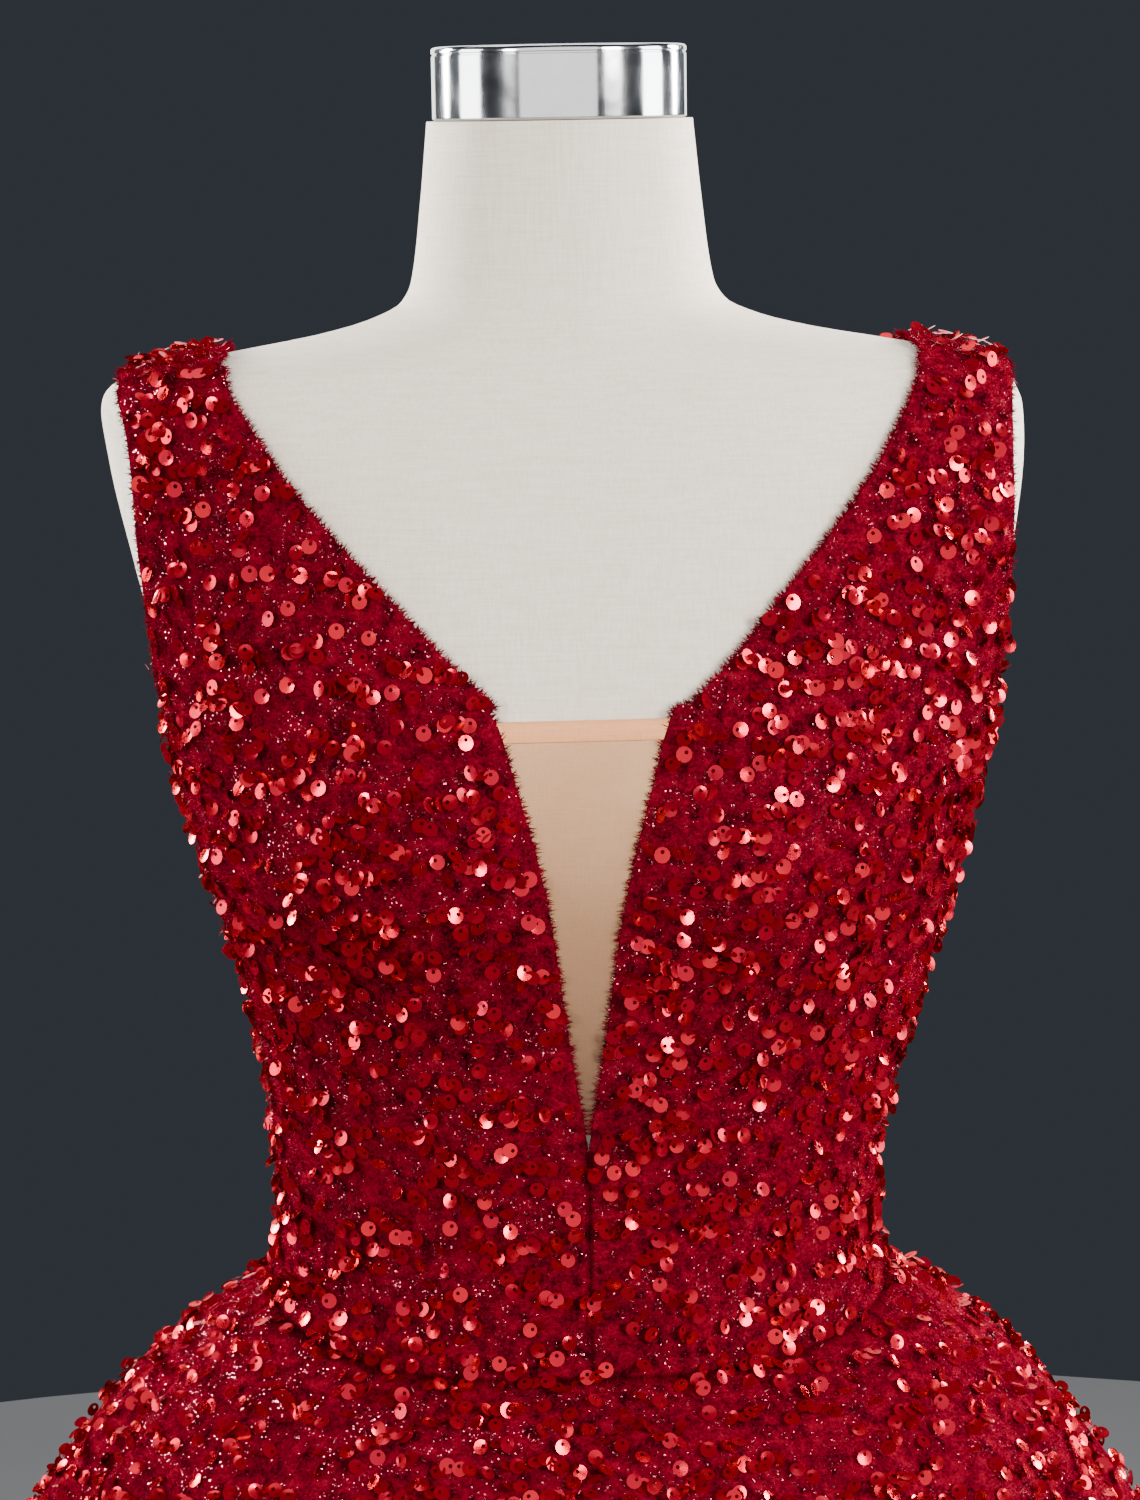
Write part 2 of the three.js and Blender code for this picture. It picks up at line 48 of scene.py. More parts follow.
# The form, as in the part's source
WAIST_Z = 1040
NECK_RISE = 464
FORM_COLUMNS = ("rise", "side", "front", "back", "sway", "power")
FORM_ROWS = [
    (-200, 150, 96, 104, 0, 2.2),
    (-188, 162, 103, 113, 0, 2.2),
    (-140, 165, 104, 118, 0, 2.2),
    (-80, 150, 99, 106, 0, 2.2),
    (-30, 130.5, 92, 86, 0, 2.2),
    (0, 126.5, 90, 79, 0, 2.2),
    (25, 128, 91, 79, 0.6, 2.2),
    (52, 132, 93, 82, 3, 2.2),
    (81, 138.5, 95, 87, 4.6, 2.25),
    (105, 144.5, 97, 91, 5.5, 2.3),
    (137, 154, 100, 96, 5.5, 2.35),
    (165, 161.5, 102, 100, 5, 2.4),
    (194, 169, 102, 103, 5, 2.4),
    (240, 177.5, 99, 105, 4.5, 2.4),
    (285, 187, 93, 103, 3.4, 2.35),
    (325, 193.5, 84, 95, 1.6, 2.25),
    (343, 194.5, 78, 88, 0, 2.15),
    (353, 192, 74, 83, -1.5, 2.1),
    (360, 185, 70, 78, -1.2, 2),
    (365, 168, 67, 75, 0, 2),
    (370, 140, 65, 72, 0.8, 2),
    (376, 106, 62, 70, 1, 2),
    (382, 83, 60, 68, 0.6, 2),
    (389, 68.5, 58, 66, 0.2, 2),
    (398, 63.5, 56.5, 63, 0, 2),
    (430, 59, 55, 58, 0, 2),
    (464, 55.5, 55.5, 55.5, 0, 2),
]
BUST = {"x": 77, "rise": 168, "wide": 54, "high": 52, "swell": 19}

# Cloth, as in the part's source
EASE = 1.8
CLOTH = 2
MESH = 1
SEAM = 0.3
UNDERARM_RISE = 232
HEM_Z = 12
PLUNGE_COLUMNS = ("rise", "open")
PLUNGE_ROWS = [
    (46, 0), (58, 2), (80, 5.6), (109, 9.8), (144, 14.6), (172, 20.2), (202, 28), (228, 35.2), (232, 37.6),
]
BACK_V_ROWS = [(118, 0), (150, 17), (190, 38), (232, 60)]
STRAP_SWAY = {"underarm": 4.6, "shoulder": 2}
STRAP_COLUMNS = ("run", "neck_x", "neck_y", "neck_rise", "arm_x", "arm_y", "arm_rise")
FRONT_STRAP_ROWS = [
    (0, 37.6, -104, 232, 176, 0, 232),
    (0.13, 56, -101, 250, 178, -19, 241),
    (0.3, 75, -97, 271, 181, -31, 260),
    (0.48, 97.5, -88, 296, 182, -37, 285),
    (0.66, 120.6, -70, 325, 181, -38, 316),
    (0.82, 135, -44, 350, 181, -31, 342),
    (0.92, 142, -20, 363, 182.5, -16, 355),
    (1, 145, 0, 368, 183, 0, 358),
]
BACK_STRAP_ROWS = [
    (0, 60, 100, 232, 176, 0, 232),
    (0.13, 71, 98, 252, 178, 20, 241),
    (0.3, 85, 95, 277, 181, 32, 260),
    (0.48, 102, 86, 304, 182, 39, 285),
    (0.66, 119, 70, 330, 181, 41, 316),
    (0.82, 134, 45, 351, 181, 33, 342),
    (0.92, 141.5, 20, 363, 182.5, 17, 355),
    (1, 145, 0, 368, 183, 0, 358),
]
SEAM_FRONT_RISE = -52
SEAM_SIDE_RISE = -38
SEAM_BACK_RISE = -46
SEAM_FLAT = math.pi / 9
SKIRT_DROP = 1000
SKIRT_COLUMNS = ("drop", "out", "fold")
SKIRT_ROWS = [
    (0, 0, 0), (8, 16, 0), (18, 30, 0.4), (30, 45.5, 1), (46, 62, 1.8), (62, 75.5, 2.8), (80, 88.5, 3.8),
    (100, 102, 4.8), (125, 116.5, 6), (200, 155.5, 9), (350, 222, 13.5), (500, 281, 17.5), (700, 356, 21.5),
    (850, 409.5, 24), (1000, 462, 26),
]
SKIRT_BACK_FULLNESS = 0.04
FOLDS = 20
GORES = [
    ("skirt_front", -26, 26),
    ("skirt_side_front_left", 26, 78),
    ("skirt_side_back_left", 78, 129),
    ("skirt_back_left", 129, 180),
    ("skirt_side_front_right", -78, -26),
    ("skirt_side_back_right", -129, -78),
    ("skirt_back_right", -180, -129),
]
INSERT_LOW = 53
INSERT_HIGH = 226.5

# Soft creases of the skirt below the waist seam: where, how wide, how deep, and from which drop to which
CREASE_COLUMNS = ("angle", "wide", "deep", "start", "end")
CREASE_ROWS = [
    (-171, 2.6, 2.2, 4, 170), (-152, 3.4, 2.8, 10, 240), (-138, 2.2, 1.8, 6, 120), (-117, 3.0, 2.6, 8, 210),
    (-96, 2.4, 2.0, 5, 150), (-81, 3.2, 2.4, 12, 260), (-63, 2.2, 2.2, 4, 130), (-47, 3.6, 3.0, 9, 280),
    (-33, 2.0, 1.6, 5, 110), (-17, 2.8, 2.2, 10, 200), (-3, 2.0, 1.4, 14, 120), (11, 3.0, 2.2, 8, 230),
    (29, 2.4, 2.4, 5, 150), (43, 3.2, 2.8, 10, 260), (58, 2.0, 1.8, 4, 120), (74, 3.4, 2.6, 9, 240),
    (92, 2.4, 2.0, 6, 140), (109, 3.0, 2.6, 8, 220), (127, 2.2, 1.8, 5, 130), (144, 3.4, 2.8, 10, 250),
    (163, 2.6, 2.0, 6, 160),
]

# Soft creases of the bodice: place, half length and half width, lean, and depth out of the cloth
DRAG_COLUMNS = ("x", "rise", "long", "wide", "lean", "deep")
DRAG_ROWS = [
    (-112, 12, 34, 5, 0.25, 1.3), (-100, -8, 30, 4, 0.1, -1.0), (-118, 40, 30, 6, 0.45, 1.0),
    (112, 8, 36, 5, -0.3, 1.4), (98, -12, 28, 4, -0.1, -1.1), (120, 44, 32, 6, -0.5, 1.2),
    (-128, 150, 40, 8, 1.2, 1.4), (132, 160, 44, 8, -1.25, 1.8), (-58, 96, 30, 7, 1.45, -1.0),
    (60, 92, 34, 7, -1.4, -1.1), (140, 118, 36, 6, -1.1, -1.2), (-30, -20, 24, 4, 0.2, 0.7),
    (34, -26, 24, 4, -0.2, 0.7),
]
SEAM_DIP = 1.1
SEAM_DIP_REACH = 1.2
SEAM_ROWS = (0.9, 2.1)
SEAM_ROW_SHARES = (0.0032, 0.0075)
SEAM_COLUMN_SHARES = (0.0075, 0.018)

# Sequins, pile and lurex
SEQUIN_RADIUS = 3.3
SEQUIN_HOLE = 0.8
SEQUIN_HOLE_SHIFT = 1.25
SEQUIN_CUP = 0.18
HANG = -0.14
SEQUIN_SIDES = 12
FAR_SEQUIN_SIDES = 8
SEQUIN_EDGE = 4.4
SEAM_EDGE = 1.6
PILE_EDGE = 0.5
CHAIN_SHARES = (0.4, 0.15, 0.05)
PILE_LENGTH = 2.3
PILE_WIDTH = 0.46

# Fineness of the shells
BODICE_COLUMNS = 56
BODICE_LOWER = 64
BODICE_UPPER = 64
GORE_COLUMNS = 64
GORE_ROWS = 66
FORM_RINGS = 150
FORM_SIDES = 132


def table(columns, rows):
    return dict(zip(columns, np.array(rows, float).T))


FORM = table(FORM_COLUMNS, FORM_ROWS)
PLUNGE = table(PLUNGE_COLUMNS, PLUNGE_ROWS)
BACK_V = table(PLUNGE_COLUMNS, BACK_V_ROWS)
FRONT_STRAP = table(STRAP_COLUMNS, FRONT_STRAP_ROWS)
BACK_STRAP = table(STRAP_COLUMNS, BACK_STRAP_ROWS)
SKIRT = table(SKIRT_COLUMNS, SKIRT_ROWS)
CREASES = table(CREASE_COLUMNS, CREASE_ROWS)
DRAGS = table(DRAG_COLUMNS, DRAG_ROWS)


def smooth(t):
    s = np.clip(t, 0, 1)
    return s * s * (3 - 2 * s)


def mix(a, b, t):
    return a + (b - a) * t


def value(rows, key, at, name):
    """A smooth value from a table: monotone cubic between its rows."""
    x = rows[key]
    y = rows[name]
    slope = np.diff(y) / np.diff(x)
    before = slope[:-1]
    after = slope[1:]
    both = before + after
    turn = np.where(before * after > 0, 2 * before * after / np.where(both == 0, 1, both), 0)
    tangent = np.concatenate([slope[:1], turn, slope[-1:]])
    at = np.clip(at, x[0], x[-1])
    i = np.clip(np.searchsorted(x, at) - 1, 0, len(slope) - 1)
    span = x[i + 1] - x[i]
    t = (at - x[i]) / span
    flat = y[i] * (1 + 2 * t) * (1 - t) ** 2 + y[i + 1] * t * t * (3 - 2 * t)
    return flat + span * (tangent[i] * t * (1 - t) ** 2 - tangent[i + 1] * t * t * (1 - t))


def form_value(name, rise):
    return value(FORM, "rise", rise, name)


def half_width(x, rise):
    return form_value("side", rise) + form_value("sway", rise) * np.sign(x)


def bust_swell(x, rise):
    high = ((rise - BUST["rise"]) / BUST["high"]) ** 2
    mounds = [np.exp(-(((x - centre) / BUST["wide"]) ** 2) - high) for centre in (BUST["x"], -BUST["x"])]
    return BUST["swell"] * (mounds[0] + mounds[1])


def depth_at(x, rise, front):
    return np.where(front, form_value("front", rise) + bust_swell(x, rise), form_value("back", rise))


def level(p):
    """Below 0 inside the form, 0 on its surface."""
    rise = p[..., 2] - WAIST_Z
    power = form_value("power", rise)
    depth = depth_at(p[..., 0], rise, p[..., 1] < 0)
    wide = np.abs(p[..., 0]) / half_width(p[..., 0], rise)
    return wide ** power + (np.abs(p[..., 1]) / depth) ** power - 1


def gradient(p):
    step = 0.05
    parts = []
    for axis in range(3):
        shift = np.zeros(3)
        shift[axis] = step
        parts.append((level(p + shift) - level(p - shift)) / (2 * step))
    return np.stack(parts, -1)


def unit(v):
    return v / np.linalg.norm(v, axis=-1, keepdims=True)


def seat(p, offset):
    """The nearest place on the form, moved out by an offset."""
    p = np.array(p, float)
    for _ in range(12):
        g = gradient(p)
        move = g * (-level(p) / (g ** 2).sum(-1))[..., None]
        far = np.linalg.norm(move, axis=-1, keepdims=True)
        p += move * np.minimum(1, 15 / np.maximum(far, 1e-9))
    return p + unit(gradient(p)) * np.asarray(offset)[..., None]


def skin(angle, rise, offset):
    """A place round the form at a height, moved out by an offset and still at that height."""
    angle, rise, offset = np.broadcast_arrays(angle, rise, offset)
    power = form_value("power", rise)
    half = half_width(np.sin(angle), rise)
    x = half * np.sign(np.sin(angle)) * np.abs(np.sin(angle)) ** (2 / power)
    front = np.cos(angle) > 0
    depth = depth_at(x, rise, front)
    y = np.where(front, -1, 1) * depth * (1 - np.minimum(np.abs(x) / half, 1) ** power) ** (1 / power)
    p = np.stack([x, y, WAIST_Z + rise], -1)
    g = gradient(p)
    across = np.hypot(g[..., 0], g[..., 1])
    move = offset * np.linalg.norm(g, axis=-1) / across ** 2
    p[..., 0] += g[..., 0] * move
    p[..., 1] += g[..., 1] * move
    return p


def angle_at(width, rise, side):
    power = form_value("power", rise)
    return np.arcsin((width / half_width(np.asarray(side, float), rise)) ** (power / 2))


def seam_rise(angle):
    turn = np.abs(angle)
    quarter = math.pi / 2
    front = mix(SEAM_FRONT_RISE, SEAM_SIDE_RISE, smooth((turn - SEAM_FLAT) / (quarter - SEAM_FLAT)))
    back = mix(SEAM_SIDE_RISE, SEAM_BACK_RISE, smooth((turn - quarter) / quarter))
    return np.where(turn > quarter, back, front)


def mesh_object(name, places, faces, body=GOWN):
    """A piece from places in millimetres, with its smooth and its sharp edges."""
    mesh = bpy.data.meshes.new(name)
    mesh.from_pydata((np.asarray(places) * MM).tolist(), [], [list(f) for f in faces])
    mesh.shade_smooth()
    mesh.set_sharp_from_angle(angle=math.radians(48))
    mesh.update()
    piece = bpy.data.objects.new(name, mesh)
    bpy.context.scene.collection.objects.link(piece)
    return piece


def grid_faces(rows, columns, start=0, inside=False):
    first = start + (np.arange(rows - 1)[:, None] * columns + np.arange(columns - 1)[None, :]).ravel()
    faces = np.stack([first, first + 1, first + 1 + columns, first + columns], -1)
    return faces[:, ::-1] if inside else faces


def shell(name, outer, inner, groove=None):
    """A closed wall of cloth from grids of its outer and inner side, marked where it dips to a seam, for
    painted shade there.
    """
    rows, columns = outer.shape[:2]
    count = rows * columns
    index = np.arange(count).reshape(rows, columns)
    rim = np.concatenate([index[0, :-1], index[:-1, -1], index[-1, :0:-1], index[:0:-1, 0]])
    after = np.roll(rim, -1)
    edge = np.stack([rim, rim + count, after + count, after], -1)
    faces = np.concatenate([
        grid_faces(rows, columns), grid_faces(rows, columns, count, True), edge,
    ])
    piece = mesh_object(name, np.concatenate([outer.reshape(-1, 3), inner.reshape(-1, 3)]), faces)
    if groove is not None:
        marks = piece.data.attributes.new("groove", "FLOAT", "POINT")
        marks.data.foreach_set("value", np.tile(groove.ravel(), 2).astype(np.float32))
    return piece


def loft(name, rings):
    """A closed body from its rings, lowest first."""
    count, columns = rings.shape[:2]
    index = np.arange(count * columns).reshape(count, columns)
    following = np.roll(index, -1, axis=1)
    sides = np.stack([index[:-1], following[:-1], following[1:], index[1:]], -1).reshape(-1, 4)
    middle = rings[[0, -1]].mean(axis=1)
    low = count * columns
    faces = sides.tolist()
    faces += [[low, following[0, c], index[0, c]] for c in range(columns)]
    faces += [[low + 1, index[-1, c], following[-1, c]] for c in range(columns)]
    return mesh_object(name, np.concatenate([rings.reshape(-1, 3), middle]), faces)


def braced(profile, near=0.4):
    """A profile with more points close to its corners, so that its long stretches shade flat."""
    close = [profile[0]]
    for (r0, z0), (r1, z1) in zip(profile, profile[1:]):
        length = math.hypot(r1 - r0, z1 - z0)
        if length > 4 * near:
            share = near / length
            close += [(mix(r0, r1, s), mix(z0, z1, s)) for s in (share, 1 - share)]
        close.append((r1, z1))
    return close


def turned(name, profile, sides):
    """A round piece from a profile of radius and height, lowest first, closed over at both ends."""
    turn = np.arange(sides) * 2 * math.pi / sides
    rings = [
        np.stack([radius * np.cos(turn), radius * np.sin(turn), np.full(sides, height)], -1)
        for radius, height in braced(profile)
    ]
    return loft(name, np.array(rings))


# Bodice

def close_shares(count, near, far=()):
    """Even shares from 0 to 1, with closer ones beside the seams at their ends."""
    even = np.linspace(0, 1, count - len(near) - len(far) + 1)[1:-1]
    return np.concatenate([[0], near, even, [1 - share for share in reversed(far)], [1]])


def drag_depth(p, facing):
    """Soft creases of the bodice, as a lift out of its cloth."""
    lift = np.zeros(p.shape[:-1])
    rise = p[..., 2] - WAIST_Z
    for x, at, long, wide, lean, deep in zip(*(DRAGS[name] for name in DRAG_COLUMNS)):
        across = (p[..., 0] - (x if facing < 0 else -0.9 * x)) * math.cos(lean) + (rise - at) * math.sin(lean)
        along = (rise - at) * math.cos(lean) - (p[..., 0] - (x if facing < 0 else -0.9 * x)) * math.sin(lean)
        lift += deep * np.exp(-((across / long) ** 2) - (along / wide) ** 2)
    return lift


def bodice_grids(side, facing):
    """The outer and inner side of one quarter of the bodice, row by row from the waist seam up."""
    front = facing < 0
    neckline = PLUNGE if front else BACK_V
    strap = FRONT_STRAP if front else BACK_STRAP
    share = close_shares(BODICE_LOWER, SEAM_ROW_SHARES)[:, None]
    column = close_shares(BODICE_COLUMNS, SEAM_COLUMN_SHARES, SEAM_COLUMN_SHARES)[None, :]
    bottom = seam_rise(0.0 if front else math.pi) + JOIN / 2
    edge_rise = mix(bottom, UNDERARM_RISE, share)
    width = value(neckline, "rise", edge_rise, "open")
    lean = angle_at(width, edge_rise, side)
    edge = lean if front else math.pi - lean
    angle = mix(edge, math.pi / 2, column)
    rise = mix(seam_rise(angle) + JOIN / 2, UNDERARM_RISE, share)

    run = np.linspace(0, 1, BODICE_UPPER + 1)[1:, None]
    neck = [value(strap, "run", run, "neck_" + part) for part in ("x", "y", "rise")]
    arm = [value(strap, "run", run, "arm_" + part) for part in ("x", "y", "rise")]
    x, y, up = (mix(a, b, column) for a, b in zip(neck, arm))
    sway = mix(STRAP_SWAY["underarm"], STRAP_SWAY["shoulder"], run)
    guess = np.stack([side * x + sway, y, WAIST_Z + up], -1)

    bare_lower = skin(side * angle, rise, 0.0)
    bare_upper = seat(guess, 0.0)
    bare = np.concatenate([bare_lower, bare_upper])
    waist = np.concatenate([rise - seam_rise(angle), np.full(bare_upper.shape[:2], 999.0)])
    centre = np.where((width < JOIN) & (column > -1), np.abs(bare_lower[..., 0]), 999.0)
    centre = np.concatenate([centre, np.full(bare_upper.shape[:2], 999.0)])
    seam_at = np.minimum(np.minimum(waist, centre), np.abs(bare[..., 1]))
    # Closeness to a seam: the cloth dips there, and the velvet gets painted shade there
    groove = np.exp(-((seam_at / SEAM_DIP_REACH) ** 2))
    dip = SEAM_DIP * groove
    lift = drag_depth(bare, facing)

    def placed(offset):
        low = skin(side * angle, rise, offset[: BODICE_LOWER + 1])
        high = bare_upper + unit(gradient(bare_upper)) * offset[BODICE_LOWER + 1:, :, None]
        p = np.concatenate([low, high])
        p[..., 0] = side * np.maximum(side * p[..., 0], JOIN / 2)
        p[..., 1] = facing * np.maximum(facing * p[..., 1], JOIN / 2)
        on_centre = np.concatenate([(width < JOIN)[:, 0], np.zeros(BODICE_UPPER, bool)])
        p[on_centre, 0, 0] = side * JOIN / 2
        p[: BODICE_LOWER + 1, -1, 1] = facing * JOIN / 2
        p[-1, :, 1] = facing * JOIN / 2
        return p

    outer = placed(EASE + CLOTH - dip + np.maximum(lift, -0.9))
    inner = placed(np.full(dip.shape, float(EASE)) + np.maximum(lift, 0))
    if side * facing > 0:
        outer = outer[:, ::-1]
        inner = inner[:, ::-1]
        groove = groove[:, ::-1]
    return outer, inner, groove


def declare_cloth(piece, node):
    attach(piece, GOWN)
    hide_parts(node)


# Skirt

def fold_wave(angle):
    turn = FOLDS * angle + 0.9 * np.sin(2 * angle + 0.6) + 0.6 * np.sin(3 * angle + 2.1)
    deep = 1 + 0.28 * np.sin(3 * angle + 0.4) + 0.18 * np.sin(5 * angle + 2)
    return deep * (np.cos(turn) - 0.22 * np.cos(2 * turn))


def crease_depth(angle, drop):
    lift = np.zeros(np.broadcast(angle, drop).shape)
    for at, wide, deep, start, end in zip(*(CREASES[name] for name in CREASE_COLUMNS)):
        away = (np.degrees(angle) - at + 180) % 360 - 180
        along = smooth((drop - start) / 25) * smooth((end - drop) / (0.6 * end))
        lift -= deep * np.exp(-((away / wide) ** 2)) * along
    return lift


def skirt_place(angle, drop):
    rise = seam_rise(angle)
    start = skin(angle, rise, float(EASE + CLOTH))
    fullness = 1 + SKIRT_BACK_FULLNESS * np.maximum(-np.cos(angle), 0)
    out = value(SKIRT, "drop", drop, "out") * fullness
    out = out + value(SKIRT, "drop", drop, "fold") * fold_wave(angle) + crease_depth(angle, drop)
    top = WAIST_Z + rise - JOIN / 2
    height = mix(top, HEM_Z, drop / SKIRT_DROP)
    return np.stack([start[..., 0] + out * np.sin(angle), start[..., 1] - out * np.cos(angle), height], -1)


def skirt_normal(angle, drop):
    low = np.minimum(drop + 0.5, SKIRT_DROP)
    round_ = skirt_place(angle + 0.002, drop) - skirt_place(angle - 0.002, drop)
    down = skirt_place(angle, low) - skirt_place(angle, np.maximum(low - 1, 0))
    leaning = unit(np.cross(down, round_))
    straight = leaning * np.array([1, 1, 0])
    return unit(mix(unit(straight), leaning, smooth(drop / 12)[..., None]))


def gore_drops():
    """Rows of the skirt from the hem up, closer together towards the waist."""
    t = np.linspace(1, 0, GORE_ROWS + 1 - len(SEAM_ROWS))[:-1]
    return np.concatenate([SKIRT_DROP * (0.25 * t + 0.75 * t ** 2.4), SEAM_ROWS[::-1], [0]])


def gore_grids(start, end):
    drop = gore_drops()[:, None]
    middle = skirt_place(np.radians((start + end) / 2), drop[:, 0])
    inset = (JOIN / 2 / np.hypot(middle[:, 0], middle[:, 1]))[:, None]
    column = np.linspace(0, 1, GORE_COLUMNS + 1)[None, :]
    angle = mix(math.radians(start) + inset, math.radians(end) - inset, column)
    drop = np.broadcast_to(drop, angle.shape)
    outer = skirt_place(angle, drop)
    normal = skirt_normal(angle, drop)
    radius = np.hypot(outer[..., 0], outer[..., 1])
    to_edge = np.minimum(angle - math.radians(start), math.radians(end) - angle) * radius
    seam_at = np.minimum(to_edge, drop)
    groove = np.exp(-((seam_at / SEAM_DIP_REACH) ** 2))
    # The waist seam's mark, which the velvet uses for painted shade along the seam
    waist_seam_shade = np.exp(-((drop / SEAM_DIP_REACH) ** 2))
    return outer - normal * SEAM_DIP * groove[..., None], outer - normal * CLOTH, waist_seam_shade


# Node trees

def node(tree, kind, links=(), **settings):
    """A new node: its settings first, then its inputs as values or as other nodes' outputs."""
    new = tree.nodes.new(kind)
    for name, setting in settings.items():
        setattr(new, name, setting)
    for key, source in dict(links).items():
        if isinstance(source, bpy.types.NodeSocket):
            tree.links.new(source, new.inputs[key])
        else:
            new.inputs[key].default_value = source
    return new


def maths(tree, operation, *sources, clamp=False):
    return node(tree, "ShaderNodeMath", enumerate(sources), operation=operation, use_clamp=clamp).outputs[0]


def vector_maths(tree, operation, *sources):
    return node(tree, "ShaderNodeVectorMath", enumerate(sources), operation=operation).outputs[0]


def scaled(tree, vector, factor):
    return node(tree, "ShaderNodeVectorMath", {0: vector, "Scale": factor}, operation="SCALE").outputs[0]


def random_value(tree, low, high, seed, kind="FLOAT"):
    """A random value or vector for each element."""
    first, second, out = {"FLOAT": (2, 3, 1), "FLOAT_VECTOR": (0, 1, 0)}[kind]
    links = {first: low, second: high, "Seed": seed}
    return node(tree, "FunctionNodeRandomValue", links, data_type=kind).outputs[out]


def geometry_tree(name, inputs):
    tree = bpy.data.node_groups.new(name, "GeometryNodeTree")
    tree.interface.new_socket("Geometry", in_out="INPUT", socket_type="NodeSocketGeometry")
    for label, kind, start in inputs:
        socket = tree.interface.new_socket(label, in_out="INPUT", socket_type=kind)
        if start is not None:
            socket.default_value = start
    tree.interface.new_socket("Geometry", in_out="OUTPUT", socket_type="NodeSocketGeometry")
    return tree, tree.nodes.new("NodeGroupInput"), tree.nodes.new("NodeGroupOutput")


def sequin_tree():
    """Sequins sewn at random over a cloth, some of them in short overlapping chains."""
    tree, given, made = geometry_tree("sewn sequins", [
        ("Sequin", "NodeSocketObject", None),
        ("Spacing", "NodeSocketFloat", 0.006),
        ("Density", "NodeSocketFloat", 8000.0),
        ("Lift", "NodeSocketFloat", 0.0012),
        ("Tilt", "NodeSocketFloat", 1.0),
        ("Chain step", "NodeSocketFloat", 0.004),
        ("Seed", "NodeSocketInt", 1),
        ("Material", "NodeSocketMaterial", None),
    ])
    spots = node(tree, "GeometryNodeDistributePointsOnFaces", {
        "Mesh": given.outputs["Geometry"],
        "Distance Min": given.outputs["Spacing"],
        "Density Max": given.outputs["Density"],
        "Seed": given.outputs["Seed"],
    }, distribute_method="POISSON")
    turn = node(tree, "GeometryNodeStoreNamedAttribute", {
        "Geometry": spots.outputs["Points"], "Name": "chain turn",
        "Value": random_value(tree, -0.6, 0.6, 11),
    }, data_type="FLOAT", domain="POINT")
    draw = random_value(tree, 0.0, 1.0, 12)
    length = 1.0
    for share in CHAIN_SHARES:
        length = maths(tree, "ADD", length, maths(tree, "LESS_THAN", draw, share))
    chain = node(tree, "GeometryNodeDuplicateElements", {
        "Geometry": turn.outputs["Geometry"], "Amount": length,
    }, domain="POINT")
    stored = node(tree, "GeometryNodeInputNamedAttribute", {"Name": "chain turn"}, data_type="FLOAT")
    upright = node(tree, "FunctionNodeAlignRotationToVector", {"Vector": spots.outputs["Normal"]}, axis="Z")
    upright = node(tree, "FunctionNodeAlignRotationToVector", {
        "Rotation": upright.outputs[0], "Vector": (0.0, 0.0, 1.0),
    }, axis="Y", pivot_axis="Z")
    sideways = node(tree, "ShaderNodeCombineXYZ", {
        "X": maths(tree, "COSINE", stored.outputs[0]), "Y": maths(tree, "SINE", stored.outputs[0]),
    })
    along = node(tree, "FunctionNodeRotateVector", {
        "Vector": sideways.outputs[0], "Rotation": upright.outputs[0],
    })
    order = chain.outputs["Duplicate Index"]
    to_side = maths(tree, "SUBTRACT", maths(tree, "MULTIPLY", maths(tree, "MODULO", order, 2.0), 2.0), 1.0)
    rank = maths(tree, "MULTIPLY", maths(tree, "CEIL", maths(tree, "MULTIPLY", order, 0.5)), to_side)
    step = scaled(tree, along.outputs[0], maths(tree, "MULTIPLY", rank, given.outputs["Chain step"]))
    rise = maths(tree, "ADD", given.outputs["Lift"], random_value(tree, -0.0004, 0.0009, 14))
    rise = maths(tree, "ADD", rise, maths(tree, "MULTIPLY", order, 0.0004))
    shift = vector_maths(tree, "ADD", step, scaled(tree, spots.outputs["Normal"], rise))
    placed = node(tree, "GeometryNodeSetPosition", {"Geometry": chain.outputs["Geometry"], "Offset": shift})

    loose = random_value(tree, (-1.0, -1.0, -1.0), (1.0, 1.0, 1.0), 15, "FLOAT_VECTOR")
    steep = vector_maths(tree, "MULTIPLY", loose, vector_maths(tree, "ABSOLUTE", loose))
    steep = vector_maths(tree, "MULTIPLY", steep, (1.0, 1.0, 2.0))
    steep = vector_maths(tree, "ADD", scaled(tree, steep, given.outputs["Tilt"]), (HANG, 0.0, 0.0))
    tipped = node(tree, "FunctionNodeEulerToRotation", {"Euler": steep})
    facing = node(tree, "FunctionNodeRotateRotation", {
        "Rotation": upright.outputs[0], "Rotate By": tipped.outputs[0],
    }, rotation_space="LOCAL")
    shape = node(tree, "GeometryNodeObjectInfo", {"Object": given.outputs["Sequin"], "As Instance": True})
    sewn = node(tree, "GeometryNodeInstanceOnPoints", {
        "Points": placed.outputs["Geometry"],
        "Instance": shape.outputs["Geometry"],
        "Rotation": facing.outputs[0],
        "Scale": random_value(tree, 0.94, 1.04, 16),
    })
    shade = node(tree, "GeometryNodeStoreNamedAttribute", {
        "Geometry": sewn.outputs[0], "Name": "shade", "Value": random_value(tree, 0.0, 1.0, 17),
    }, data_type="FLOAT", domain="INSTANCE")
    finish(tree, shade.outputs["Geometry"], given.outputs["Material"], made)
    return tree


